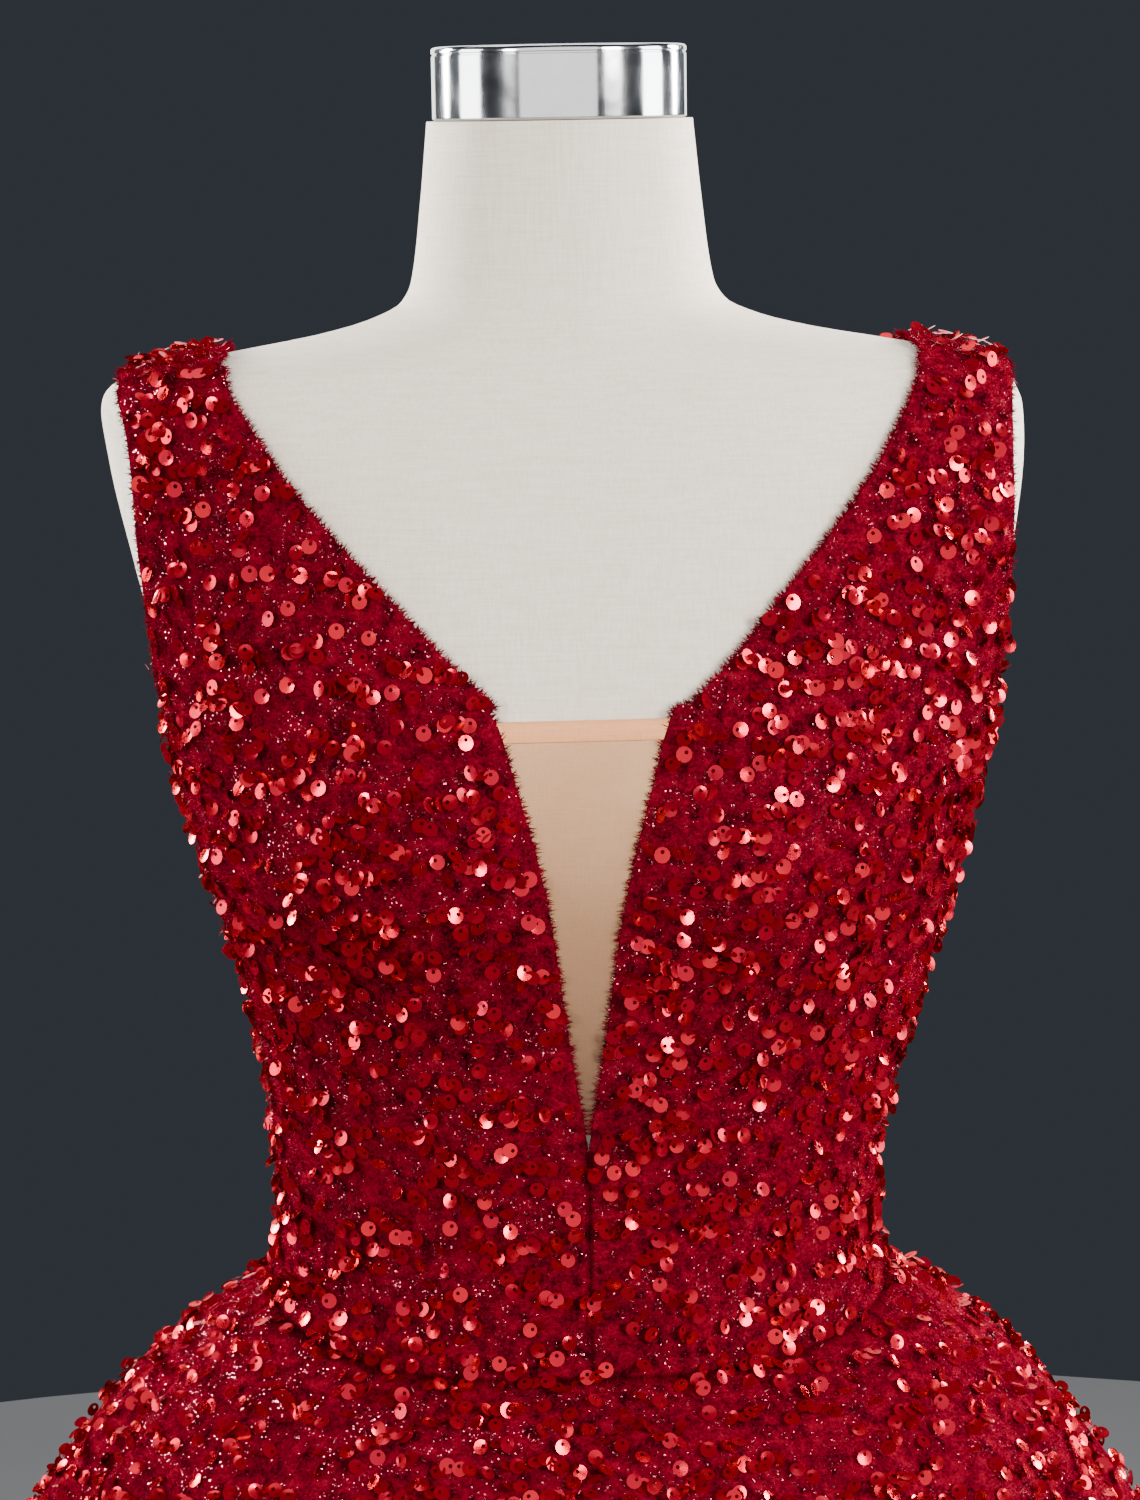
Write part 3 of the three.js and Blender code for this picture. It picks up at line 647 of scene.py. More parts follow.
def pile_tree():
    """Short fibres that stand up from velvet, leaning every way."""
    tree, given, made = geometry_tree("velvet pile", [
        ("Fibre", "NodeSocketObject", None),
        ("Density", "NodeSocketFloat", 100000.0),
        ("Lean", "NodeSocketFloat", 0.8),
        ("Length", "NodeSocketFloat", 1.0),
        ("Seed", "NodeSocketInt", 1),
        ("Material", "NodeSocketMaterial", None),
    ])
    spots = node(tree, "GeometryNodeDistributePointsOnFaces", {
        "Mesh": given.outputs["Geometry"],
        "Density": given.outputs["Density"],
        "Seed": given.outputs["Seed"],
    }, distribute_method="RANDOM")
    loose = random_value(tree, (-1.0, -1.0, -3.1), (1.0, 1.0, 3.1), 21, "FLOAT_VECTOR")
    bent = node(tree, "FunctionNodeEulerToRotation", {"Euler": scaled(tree, loose, given.outputs["Lean"])})
    facing = node(tree, "FunctionNodeRotateRotation", {
        "Rotation": spots.outputs["Rotation"], "Rotate By": bent.outputs[0],
    }, rotation_space="LOCAL")
    shape = node(tree, "GeometryNodeObjectInfo", {"Object": given.outputs["Fibre"], "As Instance": True})
    grown = node(tree, "GeometryNodeInstanceOnPoints", {
        "Points": spots.outputs["Points"],
        "Instance": shape.outputs["Geometry"],
        "Rotation": facing.outputs[0],
        "Scale": maths(tree, "MULTIPLY", random_value(tree, 0.55, 1.15, 22), given.outputs["Length"]),
    })
    shade = node(tree, "GeometryNodeStoreNamedAttribute", {
        "Geometry": grown.outputs[0], "Name": "shade", "Value": random_value(tree, 0.0, 1.0, 23),
    }, data_type="FLOAT", domain="INSTANCE")
    finish(tree, shade.outputs["Geometry"], given.outputs["Material"], made)
    return tree


def finish(tree, instances, material, made):
    real = node(tree, "GeometryNodeRealizeInstances", {"Geometry": instances})
    painted = node(tree, "GeometryNodeSetMaterial", {"Geometry": real.outputs[0], "Material": material})
    tree.links.new(painted.outputs[0], made.inputs[0])


def grown(name, ground, tree, settings, slot="sequin_velvet"):
    """A plain mesh of everything that a tree grows on a ground, which is removed afterwards."""
    modifier = ground.modifiers.new("grow", "NODES")
    modifier.node_group = tree
    sockets = {item.name: item.identifier for item in tree.interface.items_tree if item.in_out == "INPUT"}
    for label, setting in settings.items():
        modifier[sockets[label]] = setting
    bpy.context.view_layer.update()
    result = bpy.data.meshes.new_from_object(ground.evaluated_get(bpy.context.evaluated_depsgraph_get()))
    ground.modifiers.remove(modifier)
    result.name = name
    piece = bpy.data.objects.new(name, result)
    bpy.context.scene.collection.objects.link(piece)
    bpy.data.objects.remove(ground)
    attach(piece, GOWN)
    return piece


def ground_from(name, grids):
    """A bare surface, outer side only, for sequins or pile to stand on."""
    places = []
    faces = []
    start = 0
    for grid in grids:
        rows, columns = grid.shape[:2]
        places.append(grid.reshape(-1, 3))
        faces.append(grid_faces(rows, columns, start))
        start += rows * columns
    return mesh_object(name, np.concatenate(places), np.concatenate(faces))


def inset(grid, first, last):
    """The same surface with its side edges drawn in by a width each, the same or one for each row."""
    first, last = (np.broadcast_to(width, len(grid)) for width in (first, last))
    steps = np.linalg.norm(np.diff(grid, axis=1), axis=-1)
    at = np.concatenate([np.zeros((len(grid), 1)), np.cumsum(steps, axis=1)], axis=1)
    drawn = np.empty_like(grid)
    for row, (points, places) in enumerate(zip(grid, at)):
        wanted = np.linspace(first[row], places[-1] - last[row], len(points))
        for axis in range(3):
            drawn[row, :, axis] = np.interp(wanted, places, points[:, axis])
    return drawn


def sequin_shape(sides, holed):
    """A thin cupped disc, with its thread hole off the middle."""
    turn = np.arange(sides) * 2 * math.pi / sides
    circle = np.stack([np.cos(turn), np.sin(turn)], -1)
    rim = np.column_stack([SEQUIN_RADIUS * circle, np.full(sides, SEQUIN_CUP)])
    if not holed:
        return mesh_object("plain sequin shape", rim, [range(sides)])
    hole = np.column_stack([SEQUIN_HOLE * circle + (0, SEQUIN_HOLE_SHIFT), np.zeros(sides)])
    first = np.arange(sides)
    following = np.roll(first, -1)
    faces = np.stack([first, following, following + sides, first + sides], -1)
    return mesh_object("sequin shape", np.concatenate([rim, hole]), faces)


def fibre_shape():
    """One fibre of the pile: a thin spike of three sides."""
    turn = np.arange(3) * 2 * math.pi / 3
    foot = np.stack([PILE_WIDTH / 2 * np.cos(turn), PILE_WIDTH / 2 * np.sin(turn), np.zeros(3)], -1)
    tip = [[0.12 * PILE_LENGTH, 0, PILE_LENGTH]]
    return mesh_object("fibre shape", np.concatenate([foot, tip]), [[0, 1, 3], [1, 2, 3], [2, 0, 3]])


# Shader groups

def shader_group(name, inputs, outputs):
    tree = bpy.data.node_groups.new(name, "ShaderNodeTree")
    for label, kind, start in inputs:
        socket = tree.interface.new_socket(label, in_out="INPUT", socket_type=kind)
        socket.default_value = start
    for label, kind in outputs:
        tree.interface.new_socket(label, in_out="OUTPUT", socket_type=kind)
    return tree, tree.nodes.new("NodeGroupInput"), tree.nodes.new("NodeGroupOutput")


def noise(tree, vector, scale, detail=2.0, rough=0.5):
    return node(tree, "ShaderNodeTexNoise", {
        "Vector": vector, "Scale": scale, "Detail": detail, "Roughness": rough,
    }).outputs["Fac"]


def spread(tree, source, low, high, to_low=0.0, to_high=1.0):
    return node(tree, "ShaderNodeMapRange", {
        "Value": source, "From Min": low, "From Max": high, "To Min": to_low, "To Max": to_high,
    }).outputs[0]


def blend(tree, factor, first, second):
    return node(tree, "ShaderNodeMix", {0: factor, 6: first, 7: second}, data_type="RGBA").outputs[2]


def clump_group():
    """Uneven tufts of pile: a shade and a height, from large clumps and fine hairs."""
    tree, given, made = shader_group("pile tufts", [
        ("Vector", "NodeSocketVector", (0, 0, 0)),
        ("Clump scale", "NodeSocketFloat", 110.0),
        ("Hair scale", "NodeSocketFloat", 900.0),
    ], [("Shade", "NodeSocketFloat"), ("Height", "NodeSocketFloat")])
    clumps = noise(tree, given.outputs["Vector"], given.outputs["Clump scale"], 3.0, 0.6)
    hairs = noise(tree, given.outputs["Vector"], given.outputs["Hair scale"], 2.0, 0.6)
    both = maths(tree, "ADD", maths(tree, "MULTIPLY", clumps, 0.6), maths(tree, "MULTIPLY", hairs, 0.4))
    tree.links.new(spread(tree, both, 0.36, 0.64), made.inputs["Shade"])
    tree.links.new(both, made.inputs["Height"])
    return tree


def glint_group():
    """Flecks that catch the light: a mask, and a tilted normal for each fleck."""
    tree, given, made = shader_group("flecks", [
        ("Vector", "NodeSocketVector", (0, 0, 0)),
        ("Scale", "NodeSocketFloat", 650.0),
        ("Share", "NodeSocketFloat", 0.1),
        ("Tilt", "NodeSocketFloat", 1.0),
        ("Cluster scale", "NodeSocketFloat", 70.0),
        ("Normal", "NodeSocketVector", (0, 0, 1)),
    ], [("Mask", "NodeSocketFloat"), ("Normal", "NodeSocketVector")])
    cells = node(tree, "ShaderNodeTexVoronoi", {
        "Vector": given.outputs["Vector"], "Scale": given.outputs["Scale"],
    })
    tone = node(tree, "ShaderNodeSeparateColor", {"Color": cells.outputs["Color"]})
    crowd = spread(tree, noise(tree, given.outputs["Vector"], given.outputs["Cluster scale"], 3.0), 0.4, 0.64)
    chosen = maths(tree, "LESS_THAN", tone.outputs[0], maths(tree, "MULTIPLY", given.outputs["Share"], crowd))
    near = maths(tree, "LESS_THAN", cells.outputs["Distance"], 0.48)
    mask = maths(tree, "MULTIPLY", chosen, near)
    lean = vector_maths(tree, "SUBTRACT", cells.outputs["Color"], (0.5, 0.5, 0.5))
    lean = scaled(tree, lean, given.outputs["Tilt"])
    lean = scaled(tree, lean, mask)
    tilted = vector_maths(tree, "NORMALIZE", vector_maths(tree, "ADD", given.outputs["Normal"], lean))
    tree.links.new(mask, made.inputs["Mask"])
    tree.links.new(tilted, made.inputs["Normal"])
    return tree


def weave_group():
    """A plain weave: threads one way and the other, with slubs. Puts out a shade and a height."""
    tree, given, made = shader_group("plain weave", [
        ("Vector", "NodeSocketVector", (0, 0, 0)),
        ("Threads", "NodeSocketFloat", 900.0),
        ("Slub", "NodeSocketFloat", 1.5),
    ], [("Shade", "NodeSocketFloat"), ("Height", "NodeSocketFloat")])
    upright = vector_maths(tree, "MULTIPLY", given.outputs["Vector"], (1.0, 1.0, 0.06))
    level_ = vector_maths(tree, "MULTIPLY", given.outputs["Vector"], (0.06, 0.06, 1.0))
    warp = noise(tree, upright, given.outputs["Threads"], 2.0, 0.7)
    weft = noise(tree, level_, given.outputs["Threads"], 2.0, 0.7)
    threads = maths(tree, "SUBTRACT", maths(tree, "ADD", warp, weft), 1.0)
    height = maths(tree, "MULTIPLY", threads, given.outputs["Slub"])
    tree.links.new(maths(tree, "ADD", height, 0.5, clamp=True), made.inputs["Shade"])
    tree.links.new(height, made.inputs["Height"])
    return tree


def wear_group():
    """Soft uneven handling marks, as a shade that changes slowly."""
    tree, given, made = shader_group("handling", [
        ("Vector", "NodeSocketVector", (0, 0, 0)),
        ("Scale", "NodeSocketFloat", 14.0),
    ], [("Shade", "NodeSocketFloat")])
    slow = noise(tree, given.outputs["Vector"], given.outputs["Scale"], 4.0, 0.55)
    tree.links.new(spread(tree, slow, 0.3, 0.7), made.inputs["Shade"])
    return tree


CLUMPS = clump_group()
GLINTS = glint_group()
WEAVE = weave_group()
HANDLING = wear_group()


def placed_group(tree, group, links):
    return node(tree, "ShaderNodeGroup", links, node_tree=group)


def new_material(name, **constants):
    """A material with its shader, its constants on the shader's own sockets, and Object coordinates."""
    material = bpy.data.materials.new(name)
    material.use_nodes = True
    tree = material.node_tree
    shader = tree.nodes["Principled BSDF"]
    for label, setting in constants.items():
        shader.inputs[label.replace("_", " ")].default_value = setting
    here = tree.nodes.new("ShaderNodeTexCoord").outputs["Object"]
    return material, tree, shader, here


def link(tree, source, shader, label):
    tree.links.new(source, shader.inputs[label])


def bump(tree, height, strength, distance):
    links = {"Height": height, "Strength": strength, "Distance": distance}
    return node(tree, "ShaderNodeBump", links).outputs[0]


def rgb(red, green, blue):
    """A colour on the screen, 0 to 255, as the linear colour of a shader."""
    def linear(c):
        c /= 255
        return c / 12.92 if c <= 0.04045 else ((c + 0.055) / 1.055) ** 2.4
    return (linear(red), linear(green), linear(blue), 1)


def linear_rgb(red, green, blue):
    return (red, green, blue, 1)


def velvet_material():
    material, tree, shader, here = new_material(
        "crimson lurex velvet", Sheen_Weight=0.12, Sheen_Roughness=0.4, Sheen_Tint=rgb(230, 6, 50),
        Specular_IOR_Level=0.0)
    tufts = placed_group(tree, CLUMPS, {"Vector": here, "Clump scale": 150.0, "Hair scale": 760.0})
    colour = blend(tree, tufts.outputs["Shade"], rgb(36, 0, 8), rgb(126, 8, 32))
    height = bump(tree, tufts.outputs["Height"], 1.0, 0.0016)
    flecks = placed_group(tree, GLINTS, {
        "Vector": here, "Scale": 1150.0, "Share": 0.23, "Tilt": 1.7, "Normal": height,
    })
    mask = flecks.outputs["Mask"]
    # Painted shade: the velvet darkens where it dips into a seam, and its lurex flecks are left out there
    groove = node(tree, "ShaderNodeAttribute", attribute_name="groove").outputs["Fac"]
    mask = maths(tree, "MULTIPLY", mask, maths(tree, "LESS_THAN", groove, 0.3))
    colour = blend(tree, maths(tree, "MULTIPLY", groove, 0.6), colour, rgb(20, 0, 3))
    link(tree, blend(tree, mask, colour, rgb(214, 106, 118)), shader, "Base Color")
    link(tree, maths(tree, "MULTIPLY", mask, 0.9), shader, "Metallic")
    link(tree, spread(tree, mask, 0, 1, 0.85, 0.2), shader, "Roughness")
    link(tree, flecks.outputs["Normal"], shader, "Normal")
    return material


def pile_material():
    material, tree, shader, here = new_material(
        "crimson pile", Sheen_Weight=0.06, Sheen_Roughness=0.4, Sheen_Tint=rgb(230, 6, 50),
        Specular_IOR_Level=0.0)
    own = node(tree, "ShaderNodeAttribute", attribute_name="shade").outputs["Fac"]
    tufts = placed_group(tree, CLUMPS, {"Vector": here, "Clump scale": 150.0, "Hair scale": 760.0})
    tone = maths(tree, "MULTIPLY", maths(tree, "ADD", own, tufts.outputs["Shade"]), 0.5)
    lurex = maths(tree, "GREATER_THAN", own, 0.95)
    colour = blend(tree, tone, rgb(44, 0, 9), rgb(136, 8, 35))
    link(tree, blend(tree, lurex, colour, rgb(214, 106, 118)), shader, "Base Color")
    link(tree, maths(tree, "MULTIPLY", lurex, 0.9), shader, "Metallic")
    link(tree, spread(tree, lurex, 0, 1, 0.6, 0.25), shader, "Roughness")
    return material


def sequin_material():
    material, tree, shader, here = new_material(
        "red sequin foil", Coat_Weight=0.1, Coat_Roughness=0.05, Specular_IOR_Level=0.1,
        Specular_Tint=linear_rgb(1, 0.3, 0.3))
    own = node(tree, "ShaderNodeAttribute", attribute_name="shade").outputs["Fac"]
    colour = blend(tree, own, linear_rgb(0.33, 0.001, 0.018), linear_rgb(0.52, 0.006, 0.021))
    marks = placed_group(tree, HANDLING, {"Vector": here, "Scale": 260.0})
    link(tree, colour, shader, "Base Color")
    link(tree, spread(tree, own, 0, 1, 0.6, 0.85), shader, "Metallic")
    link(tree, spread(tree, marks.outputs["Shade"], 0, 1, 0.12, 0.24), shader, "Roughness")
    return material


def mesh_material():
    material, tree, shader, here = new_material(
        "nude illusion mesh", Specular_IOR_Level=0.2)
    net = placed_group(tree, WEAVE, {"Vector": here, "Threads": 1700.0, "Slub": 1.0})
    slow = placed_group(tree, HANDLING, {"Vector": here, "Scale": 20.0})
    colour = blend(tree, slow.outputs["Shade"], rgb(210, 158, 117), rgb(222, 174, 133))
    # Painted shade: the mesh darkens from the top of the insert down to the point of the V, where it lies in
    # shade
    height = node(tree, "ShaderNodeSeparateXYZ", {"Vector": here}).outputs["Z"]
    painted_shade_fade = spread(tree, height, (WAIST_Z + INSERT_LOW) * MM, (WAIST_Z + INSERT_HIGH) * MM)
    colour = blend(tree, painted_shade_fade, rgb(92, 66, 52), colour)
    link(tree, colour, shader, "Base Color")
    link(tree, spread(tree, net.outputs["Shade"], 0, 1, 0.8, 0.98), shader, "Alpha")
    link(tree, spread(tree, net.outputs["Shade"], 0, 1, 0.7, 0.5), shader, "Roughness")
    link(tree, bump(tree, net.outputs["Height"], 0.3, 0.0003), shader, "Normal")
    return material


def binding_material():
    material, tree, shader, here = new_material(
        "nude binding", Specular_IOR_Level=0.4)
    ribs = placed_group(tree, WEAVE, {"Vector": here, "Threads": 1500.0, "Slub": 1.2})
    colour = blend(tree, ribs.outputs["Shade"], rgb(230, 152, 100), rgb(244, 170, 118))
    link(tree, colour, shader, "Base Color")
    link(tree, spread(tree, ribs.outputs["Shade"], 0, 1, 0.5, 0.36), shader, "Roughness")
    link(tree, bump(tree, ribs.outputs["Height"], 0.4, 0.0003), shader, "Normal")
    return material


def linen_material():
    material, tree, shader, here = new_material(
        "off-white linen", Sheen_Weight=0.1, Sheen_Roughness=0.5, Specular_IOR_Level=0.2)
    threads = placed_group(tree, WEAVE, {"Vector": here, "Threads": 900.0, "Slub": 1.6})
    slow = placed_group(tree, HANDLING, {"Vector": here, "Scale": 16.0})
    woven = blend(tree, threads.outputs["Shade"], rgb(224, 211, 193), rgb(243, 233, 218))
    colour = blend(tree, maths(tree, "MULTIPLY", slow.outputs["Shade"], 0.25), woven, rgb(228, 215, 197))
    link(tree, colour, shader, "Base Color")
    link(tree, spread(tree, threads.outputs["Shade"], 0, 1, 0.95, 0.8), shader, "Roughness")
    link(tree, bump(tree, threads.outputs["Height"], 0.35, 0.0004), shader, "Normal")
    return material


def metal_material(name, colour, low, high, metallic=1.0, scale=60.0, **constants):
    material, tree, shader, here = new_material(name, **constants)
    shader.inputs["Metallic"].default_value = metallic
    marks = placed_group(tree, HANDLING, {"Vector": here, "Scale": scale})
    darker = tuple(0.9 * c for c in colour[:3]) + (1,)
    link(tree, blend(tree, marks.outputs["Shade"], darker, colour), shader, "Base Color")
    link(tree, spread(tree, marks.outputs["Shade"], 0, 1, low, high), shader, "Roughness")
    link(tree, bump(tree, marks.outputs["Shade"], 0.02, 0.0004), shader, "Normal")
    return material


VELVET = velvet_material()
PILE = pile_material()
SEQUIN = sequin_material()
ILLUSION = mesh_material()
BINDING = binding_material()
LINEN = linen_material()
CHROME = metal_material("polished chrome", rgb(222, 224, 228), 0.07, 0.14)
ENAMEL = metal_material("satin black enamel", rgb(38, 38, 41), 0.35, 0.5, metallic=0.0, Coat_Weight=0.4)
ZIP_METAL = metal_material("red zip enamel", rgb(112, 10, 18), 0.2, 0.32, metallic=0.8, Coat_Weight=0.5)


def painted(piece, material):
    piece.data.materials.clear()
    piece.data.materials.append(material)
    return piece


# The form and its stand

def form_torso():
    share = np.linspace(0, 1, FORM_RINGS + 1)
    rise = np.interp(share, [0, 0.05, 0.5, 0.62, 0.86, 1], [-200, -186, 240, 325, 398, 464])
    angle = np.linspace(0, 2 * math.pi, FORM_SIDES, endpoint=False)
    rings = skin(angle[None, :], rise[:, None], 0.0)
    return loft("form_torso_linen", rings)


def neck_cap():
    low = WAIST_Z + NECK_RISE + SEAM
    profile = [(20, 0), (52.2, 0), (53, 0.8), (53, 26.2), (52.5, 26.5), (52.5, 27)]
    profile += [(53.1, 27.4), (53.1, 28.9), (52.4, 29.7), (51, 30), (20, 30)]
    return turned("neck_cap_chrome", [(radius, low + up) for radius, up in profile], 160)


def stand_pole():
    low = 18.3
    high = WAIST_Z - 200 - SEAM
    profile = [(6, low), (22, low), (22, low + 14), (20, low + 17), (14, low + 18), (14, high), (6, high)]
    return turned("stand_pole_chrome", profile, 64)


def stand_base():
    profile = [(60, 0), (187, 0), (190, 2), (190, 12), (188.5, 15.5), (185, 17.4), (178, 18), (60, 18)]
    return turned("stand_base_enamel", profile, 128)


for make, target, slot, material in (
    (form_torso, "form_torso", "form_linen", LINEN),
    (neck_cap, "neck_cap", "chrome", CHROME),
    (stand_pole, "stand_pole", "chrome", CHROME),
    (stand_base, "stand_base", "stand_enamel", ENAMEL),
):
    piece = painted(make(), material)
    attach(piece, GOWN)
    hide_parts(target)
for target in ("zip_slider", "zip_pull"):
    painted(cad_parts[target], ZIP_METAL)

# The bodice

bodice = {}
for side, side_name in ((1, "left"), (-1, "right")):
    for facing, facing_name in ((-1, "front"), (1, "back")):
        outer, inner, groove = bodice_grids(side, facing)
        target = f"bodice_{facing_name}_{side_name}"
        piece = painted(shell(target + "_velvet", outer, inner, groove), VELVET)
        declare_cloth(piece, target)
        bodice[facing, side] = (outer, inner)

# The mesh insert and its binding


def insert_place(across, rise, offset):
    width = value(PLUNGE, "rise", rise, "open")
    right = skin(-angle_at(width, rise, -1), rise, offset)
    left = skin(angle_at(width, rise, 1), rise, offset)
    right[..., 0] += SEAM
    left[..., 0] -= SEAM
    return mix(right, left, across[..., None])


def insert_grids(low, high, rows, columns, inner, outer):
    rise = np.broadcast_to(np.linspace(low, high, rows + 1)[:, None], (rows + 1, columns + 1))
    across = np.broadcast_to(np.linspace(0, 1, columns + 1)[None, :], rise.shape)
    return insert_place(across, rise, outer), insert_place(across, rise, inner)


outer, inner = insert_grids(INSERT_LOW, INSERT_HIGH, 60, 24, EASE + 0.2, EASE + 0.7)
piece = painted(shell("illusion_mesh_net", outer, inner), ILLUSION)
declare_cloth(piece, "illusion_mesh_insert")


BINDING_SINK = 1.5


def binding():
    """A strip folded over the top of the mesh: a rounded front leaf, its fold, and a back leaf."""
    profile = [(0, 2.5), (0.2, 3.0), (1.2, 3.35), (4, 3.5), (6.6, 3.55), (7.7, 3.3), (8.2, 2.7), (8.3, 2.0)]
    profile += [(8.0, 1.5), (7.2, 1.25), (6.0, 1.2), (6.0, 1.45), (7.2, 1.6), (7.6, 2.0), (7.0, 2.45)]
    profile += [(4, 2.6), (1, 2.5)]
    low = INSERT_HIGH - 7
    columns = 36
    rings = []
    for share in np.linspace(0, 1, columns + 1):
        rings.append([
            insert_place(np.array(share), np.array(low + up), np.array(EASE - BINDING_SINK + out))
            for up, out in profile
        ])
    return loft("insert_binding_fold", np.array(rings))


piece = painted(binding(), BINDING)
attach(piece, GOWN)
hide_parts("insert_binding")

# The concealed zip: its closed teeth on their tape, between the form and the centre back seam

ZIP_LOW = -44
ZIP_HIGH = 115
TAPE_HALF = 8
TAPE_INNER = 0.3
TAPE_OUTER = 0.7
TAPE_ROWS = 60
TAPE_COLUMNS = 9
TOOTH_PITCH = 1.6
TOOTH_HALF = (1.3, 0.4, 0.45)
TOOTH_OUT = 1.2
TOOTH_STAGGER = 0.3


def tape_grid(offset):
    rise = np.linspace(ZIP_LOW, ZIP_HIGH, TAPE_ROWS)[:, None]
    across = np.linspace(TAPE_HALF, -TAPE_HALF, TAPE_COLUMNS)[None, :]
    return skin(math.pi - across / form_value("side", rise), rise, offset)


def zip_teeth():
    corners = np.array([(x, y, z) for z in (-1, 1) for y in (-1, 1) for x in (-1, 1)]) * TOOTH_HALF
    sides = np.array([(0, 2, 3, 1), (4, 5, 7, 6), (0, 1, 5, 4), (2, 6, 7, 3), (0, 4, 6, 2), (1, 3, 7, 5)])
    rises = np.arange(ZIP_LOW + 1, ZIP_HIGH, TOOTH_PITCH)
    middles = skin(np.full(len(rises), math.pi), rises, TOOTH_OUT)
    middles[::2, 0] += TOOTH_STAGGER
    middles[1::2, 0] -= TOOTH_STAGGER
    places = (middles[:, None, :] + corners).reshape(-1, 3)
    faces = (np.arange(len(rises))[:, None, None] * len(corners) + sides).reshape(-1, 4)
    return mesh_object("zip_teeth", places, faces)


tape = tape_grid(TAPE_OUTER)
piece = painted(shell("zip_tape", tape, tape_grid(TAPE_INNER)), VELVET)
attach(piece, GOWN)
piece = painted(zip_teeth(), ZIP_METAL)
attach(piece, GOWN)

# The skirt

gores = {}
for target, start, end in GORES:
    outer, inner, groove = gore_grids(start, end)
    piece = painted(shell(target + "_velvet", outer, inner, groove), VELVET)
    declare_cloth(piece, target)
    gores[target] = outer

# Sequins and pile

sequins = sequin_tree()
pile = pile_tree()
near_sequin = sequin_shape(SEQUIN_SIDES, holed=True)
far_sequin = sequin_shape(FAR_SEQUIN_SIDES, holed=False)
fibre = fibre_shape()


def sew(name, grids, shape, seed, density=8600.0, spacing=0.0066, tilt=0.95):
    grown(name, ground_from(name + " ground", grids), sequins, {
        "Sequin": shape, "Spacing": spacing, "Density": density, "Lift": 0.0017, "Tilt": tilt,
        "Chain step": 0.0042, "Seed": seed, "Material": SEQUIN,
    })


def grow_pile(name, grids, density, seed, lean=0.8, length=1.0):
    grown(name, ground_from(name + " ground", grids), pile, {
        "Fibre": fibre, "Density": density, "Lean": lean, "Length": length, "Seed": seed, "Material": PILE,
    })


def upper_rows(grid, clear, drop):
    """A gore's rows from a clearance below its waist seam down to a drop."""
    drops = gore_drops()
    return grid[(drops >= clear) & (drops <= drop)]


def lower_rows(grid, drop):
    rows = gore_drops() > drop
    rows[1:] |= rows[:-1]
    return grid[rows]


NEAR_DROP = 230
front_gores = [gores[name] for name in ("skirt_front", "skirt_side_front_left", "skirt_side_front_right")]
back_gores = [gores[name] for name in gores if "front" not in name]


def sewn_area(facing):
    """Where a bodice's sequins go: clear of its free edges, and close up to its seams."""
    areas = []
    for side in (1, -1):
        grid = bodice[facing, side][0][1:]
        neck = 0 if side * facing < 0 else -1
        by_neck = np.where(np.abs(grid[:, neck, 0]) > 1, SEQUIN_EDGE, SEAM_EDGE)
        by_arm = np.where(np.arange(len(grid)) < BODICE_LOWER - 1, SEAM_EDGE, SEQUIN_EDGE)
        areas.append(inset(grid, by_neck, by_arm) if neck == 0 else inset(grid, by_arm, by_neck))
    return areas


def pile_area(facing):
    return [inset(bodice[facing, side][0][1:], PILE_EDGE, PILE_EDGE) for side in (1, -1)]


sew("sequins_bodice_front", sewn_area(-1), near_sequin, 3, density=14000.0, spacing=0.0053)
sew("sequins_bodice_back", sewn_area(1), near_sequin, 4, density=14000.0, spacing=0.0056)
sew("sequins_skirt_top", [upper_rows(g, SEAM_ROWS[0], NEAR_DROP) for g in gores.values()], near_sequin, 5,
    density=11000.0, spacing=0.006)
sew("sequins_skirt_front", [lower_rows(g, NEAR_DROP) for g in front_gores], far_sequin, 6)
sew("sequins_skirt_back", [lower_rows(g, NEAR_DROP) for g in back_gores], far_sequin, 7)
grow_pile("pile_bodice_front", pile_area(-1), 330000.0, 31)
grow_pile("pile_bodice_back", pile_area(1), 110000.0, 32)
grow_pile("pile_skirt_top", [upper_rows(g, 0, NEAR_DROP) for g in front_gores], 170000.0, 33)


def edge_strips():
    """The narrow faces along the neckline and the armholes, where the pile stands out past the edge."""
    strips = []
    for (facing, side), (outer, inner) in bodice.items():
        neck = 0 if side * facing < 0 else -1
        arm = -1 - neck
        open_rows = np.abs(outer[:, neck, 0]) > 1
        ahead = np.stack([outer[open_rows, neck], inner[open_rows, neck]], axis=1)
        strips.append(ahead if neck == -1 else ahead[:, ::-1])
        top = np.arange(outer.shape[0]) >= BODICE_LOWER
        round_arm = np.stack([outer[top, arm], inner[top, arm]], axis=1)
        strips.append(round_arm if arm == -1 else round_arm[:, ::-1])
    return strips


grow_pile("pile_edges", edge_strips(), 1700000.0, 34, lean=0.75, length=1.5)
for shape in (near_sequin, far_sequin, fibre):
    bpy.data.objects.remove(shape)

# Floor, light and camera

FLOOR_RADIUS = 2600
floor = turned("floor", [(100, -1.4), (FLOOR_RADIUS, -1.4), (FLOOR_RADIUS, -0.4), (100, -0.4)], 96)
floor_paint, floor_tree, floor_shader, floor_here = new_material("pale floor", Roughness=0.7)
cloud = placed_group(floor_tree, HANDLING, {"Vector": floor_here, "Scale": 1.5})
link(floor_tree, blend(floor_tree, cloud.outputs["Shade"], rgb(93, 94, 96), rgb(99, 100, 102)),
     floor_shader, "Base Color")
painted(floor, floor_paint)


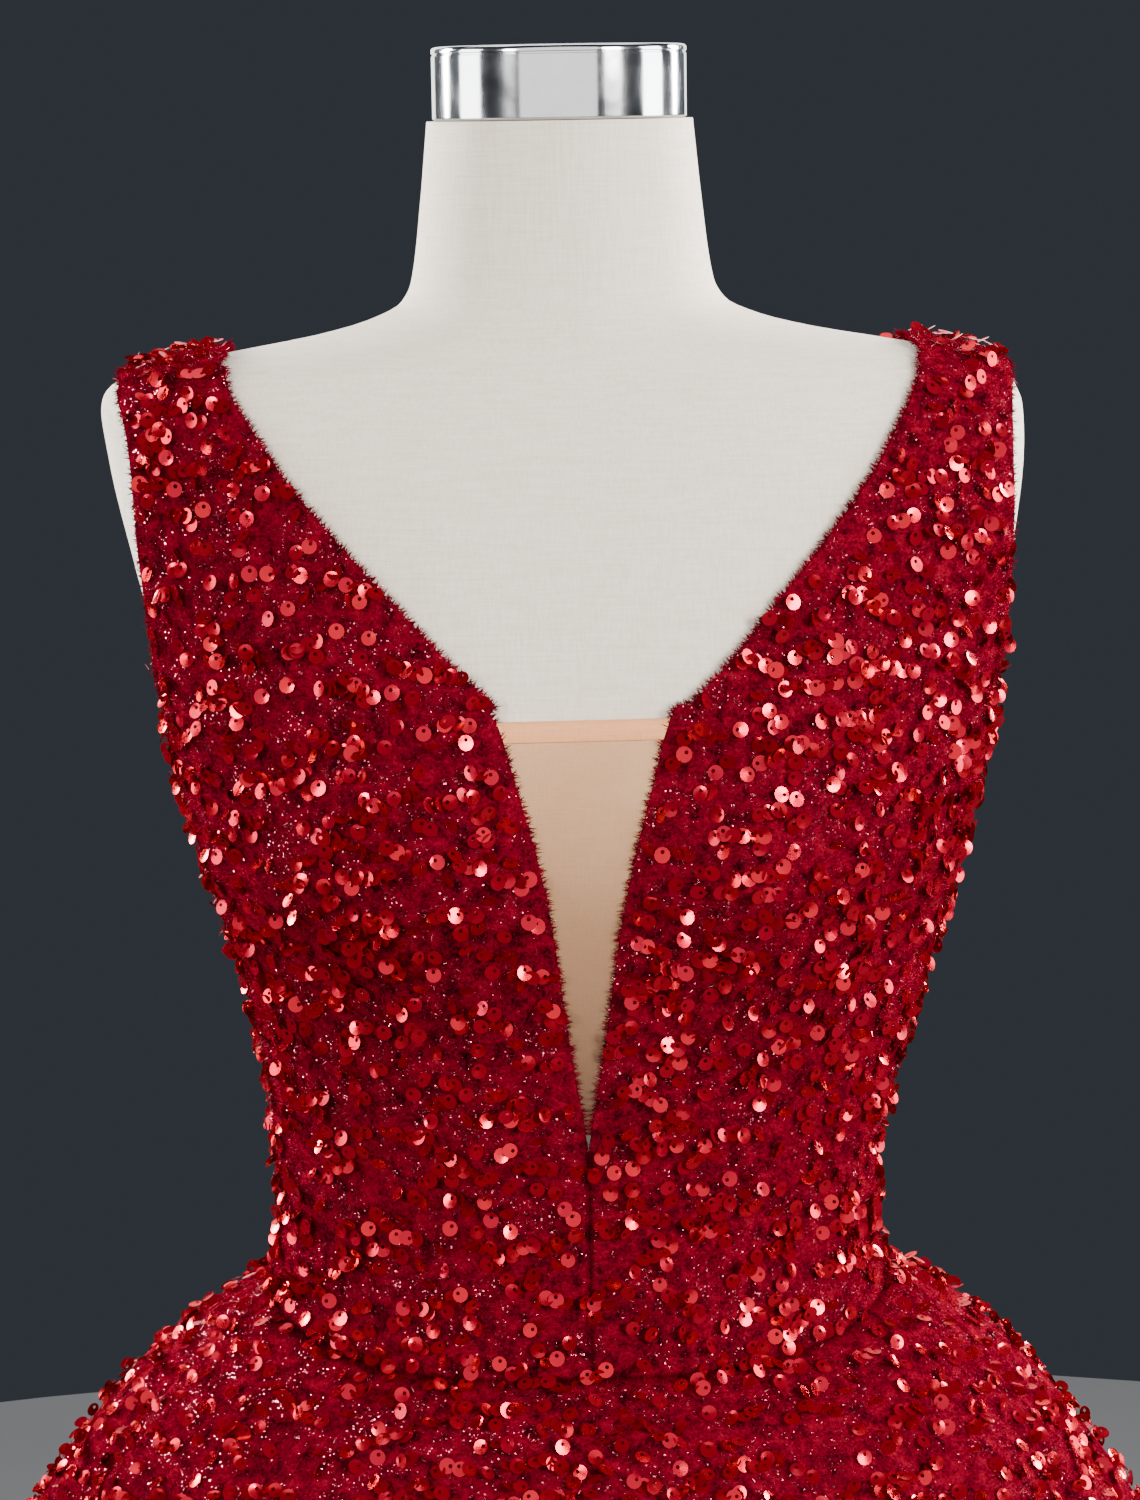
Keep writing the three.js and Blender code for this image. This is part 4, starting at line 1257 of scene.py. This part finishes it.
def soft_box(name, place, width, height, brightness, colour=(1, 1, 1), beam=None, aim=None):
    """A soft light. Its brightness is that of its own surface, and a beam is half its cone in degrees."""
    lamp = bpy.data.lights.new(name, "AREA")
    lamp.shape = "RECTANGLE"
    lamp.size = width
    lamp.size_y = height
    lamp.energy = math.pi * width * height * brightness
    if beam:
        half = math.radians(beam)
        lamp.spread = 2 * half
        lamp.energy *= 1 - half / math.tan(half)
    lamp.color = colour
    holder = bpy.data.objects.new(name, lamp)
    holder.location = place
    holder.rotation_euler = ((aim or CHEST) - Vector(place)).to_track_quat("-Z", "Y").to_euler()
    holder.visible_camera = False
    bpy.context.scene.collection.objects.link(holder)


CHEST = Vector((0, 0, 1.25))
NECK = Vector((0, 0, 1.48))
WARM = (1, 0.97, 0.93)
soft_box("front", (-0.2, -3.2, 2.0), 4.6, 3.0, 1.85, WARM)
soft_box("front right", (2.3, -2.2, 2.2), 0.9, 1.2, 52, WARM)
soft_box("front left", (-2.4, -2.2, 2.2), 0.6, 1.0, 34, WARM)
soft_box("side left", (-2.3, 0.0, 1.6), 1.0, 1.6, 9)
soft_box("side right", (2.3, 0.0, 1.6), 1.0, 1.6, 12)
soft_box("behind left", (-1.8, 1.3, 1.9), 0.5, 1.4, 260, beam=12, aim=NECK)
soft_box("behind right", (1.8, 1.3, 1.9), 0.5, 1.4, 260, beam=12, aim=NECK)
soft_box("above", (0, 0.8, 3.3), 2.2, 1.2, 3)
soft_box("behind", (0, 3.2, 2.0), 3.2, 2.2, 3)

world = bpy.data.worlds.new("studio")
world.use_nodes = True
world.node_tree.nodes["Background"].inputs["Color"].default_value = rgb(50, 54, 60)
world.node_tree.nodes["Background"].inputs["Strength"].default_value = 1.0
bpy.context.scene.world = world

LENS = 85
CAMERA_AZIMUTH = math.radians(-3)
CAMERA_PITCH = math.radians(10.4)
CAMERA_ROLL = math.radians(0.95)
CAMERA_REACH = 1.5
CAMERA_HEIGHT = 1.512

stand_at = Vector((
    CAMERA_REACH * math.sin(CAMERA_AZIMUTH), -CAMERA_REACH * math.cos(CAMERA_AZIMUTH), CAMERA_HEIGHT,
))
look_at = Vector((0, 0, CAMERA_HEIGHT - CAMERA_REACH * math.tan(CAMERA_PITCH)))
ahead = (look_at - stand_at).normalized()
level_right = ahead.cross(Vector((0, 0, 1))).normalized()
level_up = level_right.cross(ahead)
right = level_right * math.cos(CAMERA_ROLL) - level_up * math.sin(CAMERA_ROLL)
up = level_up * math.cos(CAMERA_ROLL) + level_right * math.sin(CAMERA_ROLL)
lens = bpy.data.cameras.new("camera")
lens.lens = LENS
lens.sensor_width = 36
camera = bpy.data.objects.new("camera", lens)
camera.matrix_world = Matrix.Translation(stand_at) @ Matrix((right, up, -ahead)).transposed().to_4x4()
bpy.context.scene.collection.objects.link(camera)
bpy.context.scene.camera = camera
